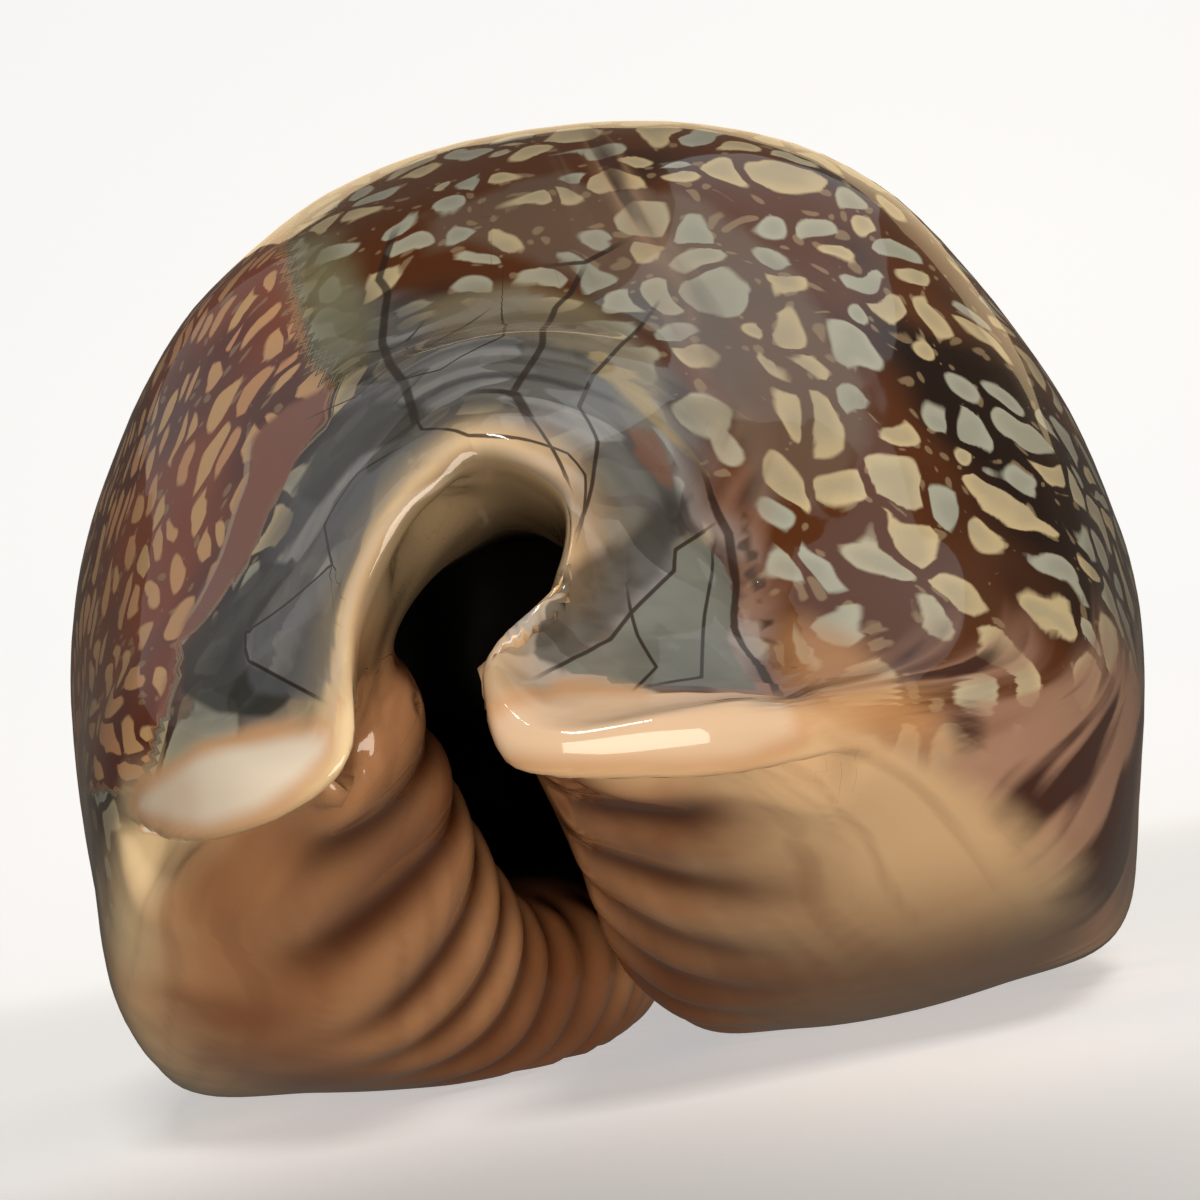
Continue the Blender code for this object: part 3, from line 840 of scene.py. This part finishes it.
glaze = zone(GLAZE_LINE)
mauve = zone(MAUVE_LINE)
rims = np.maximum(zone(RIGHT_RIM_LINE), zone(LEFT_RIM_LINE))
left_half = (section_at > FRONT_ARCH_AT)[None, :]
flank_top = seen_at(FLANK_LINE[0])[0]
past_top = skin - flank_top
row_at = np.arange(len(skin))
flank_start = np.linalg.norm(past_top, axis=-1).min(axis=1).argmin()
hidden = ~facing & (place_at < 3.0)[:, None]
hidden_flank = hidden & left_half & (row_at > flank_start)[:, None]
on_left = inside(FLANK_LINE + [(0, 790), (0, 229)]) | hidden_flank
flank = beside(FLANK_LINE).distance * np.where(on_left, 1.0, -1.0)
along_back = -past_top[..., 0] - FLANK_LEAN * past_top[..., 1]
flank = np.where(hidden & (past_top[..., 1] > 0.0), along_back, flank)
below_line = inside(MARGIN_LINE + [(1200, 640), (1200, 1100), (640, 1100), (700, 690)])
seen_margin = beside(MARGIN_LINE).distance * np.where(below_line, -1.0, 1.0)
margin_end = ring_starts[FIRST] + int(0.25 * STEPS_WALL)
below = np.linalg.norm(skin - skin[margin_end], axis=-1) * np.sign(row_at - margin_end)[:, None]
around_side = ease(section_at, 6.5, 7.5)[None, :]
margin = np.where(left_half, -20.0, -seen_margin * (1.0 - around_side) + below * around_side)
# Painted shade: the canal's roof under the arch is cream, darkened for the shade that falls deep in the
# canal
roof_sections = 1.0 - ease(np.minimum(section_at, len(sections) - section_at), 1.6, 2.6)
shaded_roof = ease(place_at, 2.2, 3.0)[:, None] * roof_sections[None, :]
print("glaze up to", round(float(glaze.max()), 1), "mm deep; flank from", flank.min().round(1), "to",
      flank.max().round(1))

# %% [markdown]
# ### Patches and cracks
#
# Inside the zones, the photograph shows single patches of another colour, and
# cracks and drips in the glaze. They are lines of pixels too. A crack keeps its
# signed distance, because that runs evenly through zero from one point to the
# next, so the material can draw it much finer than the mesh.

# %% Patches
# Each patch: its line, softness and raggedness in millimetres, strength, colour
PATCHES = {
    "olive cloud": ([(290, 236), (335, 232), (372, 300), (372, 360), (338, 384), (318, 360), (302, 320),
                     (293, 289)], 0.9, 0.8, 0.75, (134, 132, 98)),
    # Partly a greyer glaze, partly a painted reflection: grey laid over the net where the high window
    # mirrors
    "greyed glaze and painted reflection": ([(420, 215), (560, 175), (700, 200), (800, 270), (868, 380), (872, 440), (822, 505), (790, 486),
              (760, 500), (735, 440), (700, 380), (640, 320), (560, 270), (470, 250), (420, 262)],
             0.5, 1.6, 0.30, (140, 136, 124)),
    "cream over the arch": ([(420, 300), (520, 282), (600, 312), (645, 350), (668, 424), (640, 420),
                             (591, 352), (520, 336), (430, 338)], 0.7, 0.6, 0.60, (160, 146, 112)),
    "dark slab": ([(228, 600), (269, 560), (300, 560), (262, 612), (245, 640), (246, 664), (306, 687),
                   (269, 710), (215, 714), (183, 690), (183, 650)], 0.12, 0.2, 0.85, (44, 47, 44)),
    "dark patch": ([(336, 424), (380, 400), (425, 412), (404, 437), (361, 452), (320, 503), (290, 493)],
                   0.20, 0.4, 0.80, (52, 54, 48)),
    "left slab": ([(354, 476), (381, 460), (370, 520), (340, 600), (326, 700), (250, 690), (243, 661),
                   (247, 632), (301, 594), (332, 565), (325, 522)], 0.15, 0.2, 0.55, (104, 110, 118)),
    "valley": ([(606, 554), (569, 570), (534, 648), (553, 667), (590, 651), (660, 586), (692, 500),
                (668, 500), (640, 530)], 0.35, 0.4, 0.70, (58, 56, 50)),
    "plate": ([(703, 538), (673, 549), (671, 578), (628, 613), (601, 643), (553, 669), (671, 688),
               (759, 688), (727, 643), (732, 594), (724, 562)], 0.08, 0.1, 0.80, (122, 127, 119)),
    "lens": ([(628, 425), (650, 428), (668, 450), (676, 490), (655, 480), (636, 455)],
             0.20, 0.2, 0.70, (140, 100, 84)),
    "cream edge": ([(591, 347), (625, 375), (655, 400), (668, 424), (692, 447), (702, 472), (668, 440),
                    (640, 412), (600, 372)], 0.20, 0.3, 0.70, (190, 170, 126)),
    "golden corner": ([(772, 645), (800, 622), (860, 640), (900, 680), (960, 756), (880, 752), (812, 716)],
                      0.80, 0.9, 0.70, (206, 152, 102)),
    "outer stream": ([(738, 515), (751, 545), (767, 600), (780, 643), (802, 668), (788, 672), (768, 650),
                      (755, 605), (741, 555)], 0.15, 0.3, 0.80, (56, 38, 26)),
    "dark oval": ([(955, 708), (970, 704), (981, 728), (976, 750), (959, 746), (950, 726)],
                  0.45, 0.0, 0.80, (58, 36, 30)),
}
print(len(PATCHES), "patches")

# %% Cracks
# Each crack: its line and half its width in millimetres
CRACKS = {
    "left": ([(392, 243), (382, 278), (387, 292), (386, 314), (382, 340), (392, 365), (405, 383),
              (418, 414)], 0.17),
    "left branch": ([(383, 350), (400, 345), (415, 334)], 0.06),
    "middle start": ([(604, 248), (588, 258), (568, 264)], 0.14),
    "middle": ([(579, 278), (571, 296), (553, 306), (546, 329), (538, 345), (520, 388)], 0.12),
    "blot": ([(500, 392), (520, 396), (530, 412)], 0.20),
    "middle end": ([(528, 414), (551, 439), (566, 467)], 0.07),
    "right": ([(645, 314), (619, 345), (591, 375), (579, 406), (599, 442), (594, 465), (589, 508)], 0.08),
    "ring": ([(326, 411), (359, 396), (387, 368), (423, 350), (469, 319)], 0.05),
    "inner ring": ([(413, 380), (436, 370), (474, 345), (500, 338), (535, 347), (576, 355)], 0.05),
    "under the arch": ([(418, 414), (428, 426), (474, 434), (525, 439), (563, 449), (584, 472),
                        (586, 508)], 0.06),
    "left slab": ([(381, 460), (354, 476), (325, 522), (332, 565), (301, 594), (247, 632), (243, 661),
                   (306, 687)], 0.06),
    "plate edge": ([(703, 538), (673, 549), (671, 578), (628, 613), (601, 643), (553, 669)], 0.07),
    "plate crack": ([(628, 613), (633, 634), (663, 653), (654, 669), (641, 688)], 0.06),
    "plate drip": ([(712, 560), (704, 618), (701, 677), (671, 684)], 0.06),
    "stream": ([(711, 498), (727, 541), (735, 581), (735, 634), (762, 682)], 0.16),
    # Painted highlight: the pale peach line along the left edge of the collar
    "peach highlight line": ([(249, 440), (246, 481), (236, 511), (223, 549), (198, 598)], 0.16),
    "canal line": ([(425, 492), (408, 502), (376, 533), (354, 581), (338, 648), (328, 715)], 0.16),
}
# How many lines at the end of the list are pale instead of dark; the peach line is a painted highlight
PALE_LINES = 2


def packed(name, layers):
    """Three fields in each vector field, so that the material reads fewer of them."""
    layers = layers + [np.zeros_like(layers[0])] * (-len(layers) % 3)
    return {f"{name}_{i // 3}": np.stack(layers[i:i + 3], -1) for i in range(0, len(layers), 3)}


patch_fields = packed("patch", [zone(line) for line, *_ in PATCHES.values()])
crack_lines = [beside(line) for line, _ in CRACKS.values()]
crack_fields = packed("crack", [by.signed / width for by, (_, width) in zip(crack_lines, CRACKS.values())])
present_fields = packed("present", [by.present for by in crack_lines])
print(len(patch_fields), "patch fields,", len(crack_fields), "crack fields")

# %% [markdown]
# ### Maps of the surface
#
# Streaks and smears follow the surface, so they need its own directions: how
# far a point is below the crown along its column, and how far round the shell
# its column stands. Both are lengths, so a pattern keeps its size. The round
# spots on the back need a map that keeps them round, so there the surface is
# spread flat around the point that faces the camera.

# %% Lengths along the surface
column_steps = np.linalg.norm(np.diff(skin, axis=0), axis=-1)
climb = np.concatenate([np.zeros((1, COLUMNS)), np.cumsum(column_steps, axis=0)])
climb -= climb[ring_starts[FIRST]]
girth = skin[ring_starts[FIRST]]
ring_length = np.cumsum(np.linalg.norm(girth - np.roll(girth, 1, axis=0), axis=1))
round_about = ring_length - np.where(section_at > FRONT_ARCH_AT, ring_length[-1], 0.0)
round_about = np.broadcast_to(round_about, climb.shape)
surface_map = np.stack([round_about, climb, np.zeros(climb.shape)], -1)
place = np.broadcast_to(place_at[:, None], climb.shape)
# The base is not alike on both sides: on the right its darker foot, mostly
# painted shade near the ground, reaches higher, its tan starts further in, and
# past the notch its cream starts lower
height = skin[..., 2] + np.where(left_half, 1.5, -1.2)
inward = place + np.where(left_half, 0.75, -0.95)
low = place - np.where(left_half, 0.0, 0.75 * ease(section_at, 5.2, 6.6))
print("girth at the shoulder", round(float(ring_length[-1])), "mm")

# %% The back spread flat
MAP_HUB = np.array([0.0, 2.0, 12.0])
MAP_AIM = Vector((0.15, -0.62, 0.77)).normalized()
MAP_RADIUS = 27.0
map_across = np.array(MAP_AIM.cross(Vector((0, 0, 1))).normalized())
map_up = np.cross(map_across, MAP_AIM)
out_from_hub = skin - MAP_HUB
out_from_hub /= np.linalg.norm(out_from_hub, axis=-1, keepdims=True)
lean = np.arccos(np.clip(out_from_hub @ np.array(MAP_AIM), -1.0, 1.0))
flat_map = np.stack([out_from_hub @ map_across, out_from_hub @ map_up, np.zeros(lean.shape)], -1)
flat_map *= (MAP_RADIUS * lean / np.maximum(np.sin(lean), 1e-6))[..., None]
print("the back reaches", flat_map[..., :2].min((0, 1)).round(), flat_map[..., :2].max((0, 1)).round())

# %% [markdown]
# ### Clouds
#
# The slow changes in the enamel, its blotches and ragged borders, are larger
# than the distance between the shell's points. So they are worked out once per
# point here, which renders much faster than a noise texture in the material.
# The cells that the spots and the streaks grow in are bent by such clouds too,
# and one of them ripples the enamel a little, so that its highlights waver.

# %% Clouds on the points
SPOT_CELL = 2.0
STREAK_CELL = (1.25, 2.6, 1.0)
DOT_CELL = 0.75
SPOT_BEND = 2.0
STREAK_BEND = 1.4
RIPPLE_MM = 0.06


def cloud(points, size, seed, octaves=3):
    """Fractal noise around one half at each point; size is its largest feature."""
    shift = Vector((seed * 17.3, seed * 5.1, seed * 9.7))
    flat = points.reshape(-1, 3) / size
    values = [clouds.fractal(Vector(p) + shift, 0.9, 2.1, octaves) for p in flat.tolist()]
    return 0.5 + 0.5 * np.array(values).reshape(points.shape[:2])


ragged = cloud(skin, 3.2, 1, 4) - 0.5
blotch = cloud(skin, 11.0, 2)
broad = cloud(skin, 30.0, 3, 2)
smear = cloud(surface_map * (0.50, 0.075, 1.0), 1.0, 4)
slabs = cloud(surface_map * (0.18, 0.5, 1.0), 1.0, 5, 2)
flow = cloud(surface_map * (0.10, 1.3, 1.0), 1.0, 9, 2)
wobble = np.stack([cloud(skin, 2.4, seed, 2) - 0.5 for seed in (6, 7, 8)], -1)
flat_bent = flat_map + wobble * SPOT_BEND
streak_bent = surface_map + wobble * STREAK_BEND
spot_space = np.where((flank > 0.0)[..., None], streak_bent / STREAK_CELL, flat_bent / SPOT_CELL)
dot_space = np.where((flank > 0.0)[..., None], streak_bent, flat_bent) / DOT_CELL
ripple = RIPPLE_MM * wobble[..., :1] * (1.0 - ease(place_at, 2.2, 3.0))[:, None, None]
skin = skin + surface * ripple
print("blotch from", round(float(blotch.min()), 2), "to", round(float(blotch.max()), 2))

# %% [markdown]
# ## The enamel
#
# One material carries every zone. Each zone's colour is built by itself, then
# laid over the others where its field says, with a little noise in the edge so
# that no border looks cut. The fields hold millimetres, so a border can be as
# sharp or as soft as the real one.

# %% Node helpers
def srgb(red, green, blue):
    """A linear colour from the three values that a picture editor shows."""
    return tuple(((c / 255 + 0.055) / 1.055) ** 2.4 for c in (red, green, blue)) + (1.0,)


def add(tree, kind, sockets=None, **settings):
    """Add a node, set it up, and fill its sockets with values or with other nodes' outputs."""
    node = tree.nodes.new("ShaderNode" + kind)
    for key, value in settings.items():
        setattr(node, key, value)
    for key, value in (sockets or {}).items():
        if isinstance(value, bpy.types.NodeSocket):
            tree.links.new(value, node.inputs[key])
        else:
            node.inputs[key].default_value = value
    return node


def fade(tree, value, low, high, start=0.0, end=1.0):
    """Go smoothly from start to end while the value goes from low to high."""
    if low > high:
        low, high, start, end = high, low, end, start
    return add(tree, "MapRange", {"Value": value, "From Min": low, "From Max": high, "To Min": start,
                                  "To Max": end}, interpolation_type="SMOOTHSTEP").outputs["Result"]


def mix(tree, share, first, second):
    """Lay the second colour over the first."""
    node = add(tree, "Mix", {"Factor": share}, data_type="RGBA")
    for socket, value in zip((node.inputs[6], node.inputs[7]), (first, second)):
        if isinstance(value, bpy.types.NodeSocket):
            tree.links.new(value, socket)
        else:
            socket.default_value = value
    return node.outputs[2]


def calc(tree, operation, first, second=0.0):
    """One step of arithmetic."""
    return add(tree, "Math", {0: first, 1: second}, operation=operation).outputs[0]


def field(tree, name, output="Fac"):
    """A field that is stored on the shell's points."""
    return add(tree, "Attribute", attribute_name=name).outputs[output]


def start_group(name, inputs, outputs):
    """An empty node group with its sockets."""
    tree = bpy.data.node_groups.new(name, "ShaderNodeTree")
    for label, kind, value in inputs:
        socket = tree.interface.new_socket(name=label, in_out="INPUT", socket_type="NodeSocket" + kind)
        if value is not None:
            socket.default_value = value
    for label, kind in outputs:
        tree.interface.new_socket(name=label, in_out="OUTPUT", socket_type="NodeSocket" + kind)
    return tree, tree.nodes.new("NodeGroupInput").outputs, tree.nodes.new("NodeGroupOutput").inputs


def use_group(tree, group, sockets):
    """Place a group in a tree."""
    node = add(tree, "Group", node_tree=group)
    for key, value in sockets.items():
        if isinstance(value, bpy.types.NodeSocket):
            tree.links.new(value, node.inputs[key])
        else:
            node.inputs[key].default_value = value
    return node.outputs


print("a dark brown is", [round(c, 3) for c in srgb(60, 20, 8)])

# %% [markdown]
# ### Spots in a net
#
# The back of the shell shows a brown net that leaves rounded pale spots of
# many sizes free. Each spot is a cell of a Voronoi pattern: a random share of
# the cell's size makes the spots differ. Near the edge of a cell the second
# nearest middle is about as far away as the nearest one, so their difference
# keeps a strand of net between neighbours.

# %% Group: spots
STRAND = 1.7


def spots_group(name, strands):
    """A group that draws spots on a flat map; strands keep neighbours apart."""
    tree, given, result = start_group(
        name, [("Vector", "Vector", None), ("Least", "Float", 0.2), ("Most", "Float", 0.5),
               ("Soft", "Float", 0.08)],
        [("Spot", "Float"), ("Tone", "Float"), ("Middle", "Float")])
    where = {"Vector": given["Vector"], "Scale": 1.0, "Randomness": 0.85}
    cells = add(tree, "TexVoronoi", where, voronoi_dimensions="2D")
    random = add(tree, "SeparateColor", {"Color": cells.outputs["Color"]}).outputs
    size = add(tree, "MapRange", {"Value": random["Red"], "To Min": given["Least"],
                                  "To Max": given["Most"]}).outputs["Result"]
    nearest = cells.outputs["Distance"]
    room = calc(tree, "DIVIDE", calc(tree, "SUBTRACT", size, nearest), given["Soft"])
    if strands:
        second = add(tree, "TexVoronoi", where, voronoi_dimensions="2D", feature="F2").outputs["Distance"]
        strand = calc(tree, "DIVIDE", calc(tree, "SUBTRACT", second, nearest), given["Soft"])
        room = calc(tree, "MINIMUM", room, calc(tree, "SUBTRACT", strand, STRAND))
    tree.links.new(fade(tree, room, 0.0, 1.0), result["Spot"])
    tree.links.new(random["Green"], result["Tone"])
    middle = calc(tree, "DIVIDE", nearest, size)
    tree.links.new(fade(tree, middle, 0.9, 0.2), result["Middle"])
    return tree


spots = spots_group("spots", True)
small_dots = spots_group("small dots", False)
print("groups for spots", len(spots.nodes), len(small_dots.nodes), "nodes")

# %% [markdown]
# ### The material
#
# The back's brown net and the left flank's are one pattern with two palettes;
# only the map below it changes, so the flank's cells become long streaks.

# %% Material and borders
enamel = bpy.data.materials.new("cowrie enamel")
enamel.use_nodes = True
tree = enamel.node_tree
ragged_mm, blotches, broad_tone, across_wall, smears, slab_tone = (
    field(tree, name) for name in ("ragged", "blotch", "broad", "place", "smear", "slabs"))


def border(value, soft, rough=1.0, shift=0.0, strength=1.0):
    """How far a zone covers a point: its millimetres, softness, raggedness, shift and strength."""
    value = calc(tree, "ADD", value, calc(tree, "MULTIPLY", ragged_mm, rough)) if rough else value
    return fade(tree, value, shift - soft, shift + soft, 0.0, strength)


def unpack(name, count):
    """The single fields of a packed set, in their order."""
    sockets = []
    for k in range((count + 2) // 3):
        sockets += list(add(tree, "SeparateXYZ", {"Vector": field(tree, f"{name}_{k}", "Vector")}).outputs)
    return sockets[:count]


on_flank = border(field(tree, "flank"), 0.12, 0.3)
print("borders ready")

# %% Net, spots and streaks
big = use_group(tree, spots, {"Vector": field(tree, "spot_space", "Vector"), "Least": 0.30, "Most": 0.56,
                              "Soft": 0.10})
dots = use_group(tree, small_dots, {"Vector": field(tree, "dot_space", "Vector"), "Least": -0.25,
                                    "Most": 0.42, "Soft": 0.14})
net_brown = mix(tree, fade(tree, blotches, 0.35, 0.62), srgb(30, 12, 2), srgb(92, 46, 10))
net_brown = mix(tree, on_flank, net_brown, mix(tree, fade(tree, blotches, 0.35, 0.65),
                                               srgb(92, 30, 8), srgb(142, 66, 34)))
pale = mix(tree, fade(tree, big["Tone"], 0.25, 0.75), srgb(186, 188, 172), srgb(220, 200, 156))
pale = mix(tree, calc(tree, "MULTIPLY", big["Middle"], 0.35), pale, srgb(138, 138, 128))
pale = mix(tree, on_flank, pale, mix(tree, big["Tone"], srgb(220, 158, 112), srgb(228, 186, 130)))
colour = mix(tree, calc(tree, "MULTIPLY", dots["Spot"], 0.60), net_brown, srgb(168, 144, 110))
colour = mix(tree, big["Spot"], colour, pale)
print("net ready")

# %% Margins and base
margin_pale = mix(tree, fade(tree, broad_tone, 0.4, 0.6), srgb(222, 182, 138), srgb(178, 138, 116))
margin_colour = mix(tree, fade(tree, smears, 0.54, 0.68), margin_pale, srgb(72, 44, 36))
margin_mm = calc(tree, "ADD", field(tree, "margin"), calc(tree, "MULTIPLY", smears, 7.0))
colour = mix(tree, fade(tree, margin_mm, 1.5, 6.0), colour, margin_colour)
cream = mix(tree, fade(tree, blotches, 0.3, 0.7), srgb(248, 222, 178), srgb(238, 200, 156))
tan = mix(tree, fade(tree, blotches, 0.3, 0.7), srgb(188, 138, 98), srgb(138, 88, 56))
flow_bands = field(tree, "flow")
inward_rough = calc(tree, "ADD", field(tree, "inward"), calc(tree, "MULTIPLY", ragged_mm, 0.5))
base_colour = mix(tree, fade(tree, inward_rough, 2.6, 4.2), cream, tan)
base_colour = mix(tree, fade(tree, flow_bands, 0.40, 0.80, 0.0, 0.22), base_colour, srgb(120, 74, 46))
contact_shade_mm = field(tree, "height")
# Painted shade: the base turns darker brown towards the ground, mostly for the floor's shade, partly the
# base's own pinkish-brown
base_colour = mix(tree, fade(tree, contact_shade_mm, 5.5, 0.8, 0.0, 0.85), base_colour, srgb(104, 62, 40))
low_rough = calc(tree, "ADD", field(tree, "low"), calc(tree, "MULTIPLY", ragged_mm, 0.4))
colour = mix(tree, fade(tree, low_rough, 1.25, 1.9), colour, base_colour)
# The canal roof's own cream, darkened as painted shade
colour = mix(tree, field(tree, "shaded_roof"), colour, srgb(146, 126, 98))
print("margins and base ready")

# %% Glaze and patches
glaze_colour = mix(tree, fade(tree, flow_bands, 0.3, 0.7), srgb(94, 97, 102), srgb(166, 168, 170))
glaze_colour = mix(tree, fade(tree, slab_tone, 0.54, 0.57, 0.0, 0.6), glaze_colour, srgb(60, 62, 58))
mauve_share = border(field(tree, "mauve"), 0.3, 0.4)
colour = mix(tree, mauve_share, colour, srgb(146, 92, 76))
glaze_share = calc(tree, "MULTIPLY", border(field(tree, "glaze"), 1.5, 1.6, 1.1, 0.92),
                   fade(tree, field(tree, "flank"), 0.12, -0.12))
colour = mix(tree, glaze_share, colour, glaze_colour)
for mm, (_, soft, rough, strength, tint) in zip(unpack("patch", len(PATCHES)), PATCHES.values()):
    colour = mix(tree, border(mm, soft, rough, 0.0, strength), colour, srgb(*tint))
print("glaze ready")

# %% Cracks, rims and grooves
drawn = [calc(tree, "MULTIPLY", fade(tree, calc(tree, "ABSOLUTE", off), 1.15, 0.55), present)
         for off, present in zip(unpack("crack", len(CRACKS)), unpack("present", len(CRACKS)))]
dark_lines = drawn[0]
for line in drawn[1:-PALE_LINES]:
    dark_lines = calc(tree, "MAXIMUM", dark_lines, line)
pale_and_highlight_lines = calc(tree, "MAXIMUM", *drawn[-PALE_LINES:])
colour = mix(tree, calc(tree, "MULTIPLY", dark_lines, 0.85), colour, srgb(40, 24, 16))
# The pale lines, the peach one a painted highlight
colour = mix(tree, calc(tree, "MULTIPLY", pale_and_highlight_lines, 0.55), colour, srgb(206, 186, 164))
rim_colour = mix(tree, fade(tree, blotches, 0.4, 0.65), srgb(246, 234, 216), srgb(236, 204, 172))
rim_colour = mix(tree, fade(tree, field(tree, "rims"), 0.7, 0.0), rim_colour, srgb(220, 172, 130))
colour = mix(tree, border(field(tree, "rims"), 0.35, 0.5), colour, rim_colour)
colour = mix(tree, calc(tree, "MULTIPLY", field(tree, "groove"), 0.9), colour, srgb(72, 32, 10))
# Painted shade: beyond the slot's edge, down the throat and into the chamber, the wall turns almost black
# for the dark inside the shell
colour = mix(tree, fade(tree, across_wall, 6.6, 7.3), colour, srgb(20, 12, 9))
print("material", len(tree.nodes), "nodes")

# %% [markdown]
# ### Gloss
#
# The enamel is a hard clear layer over the colour, so a sharp coat does the
# mirroring and the layer below it stays quiet, which keeps the net dark. There
# is no coat deep inside, where nothing has polished the wall.

# %% Gloss
shader = tree.nodes["Principled BSDF"]
tree.links.new(colour, shader.inputs["Base Color"])
tree.links.new(fade(tree, blotches, 0.3, 0.7, 0.26, 0.40), shader.inputs["Roughness"])
shader.inputs["Specular IOR Level"].default_value = 0.12
tree.links.new(fade(tree, across_wall, 6.4, 5.6), shader.inputs["Coat Weight"])
shader.inputs["Coat Roughness"].default_value = 0.04
print("gloss ready")

# %% Shell object
fields = {"groove": groove, "glaze": glaze, "mauve": mauve, "flank": flank, "rims": rims,
          "margin": margin, "shaded_roof": shaded_roof, "place": place, "height": height, "inward": inward, "low": low,
          "ragged": ragged, "blotch": blotch, "broad": broad, "smear": smear, "slabs": slabs,
          "flow": flow, "spot_space": spot_space, "dot_space": dot_space,
          **patch_fields, **crack_fields, **present_fields}
shell_mesh = wrap_grid(skin, fields)
shell = bpy.data.objects.new("shell_enamel", shell_mesh)
bpy.context.scene.collection.objects.link(shell)
shell_mesh.materials.append(enamel)
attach(shell, "root")
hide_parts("shell")

# %% [markdown]
# ## The view transform
#
# The render shows colours through the Standard view transform.

# %% View transform
bpy.context.scene.view_settings.view_transform = "Standard"
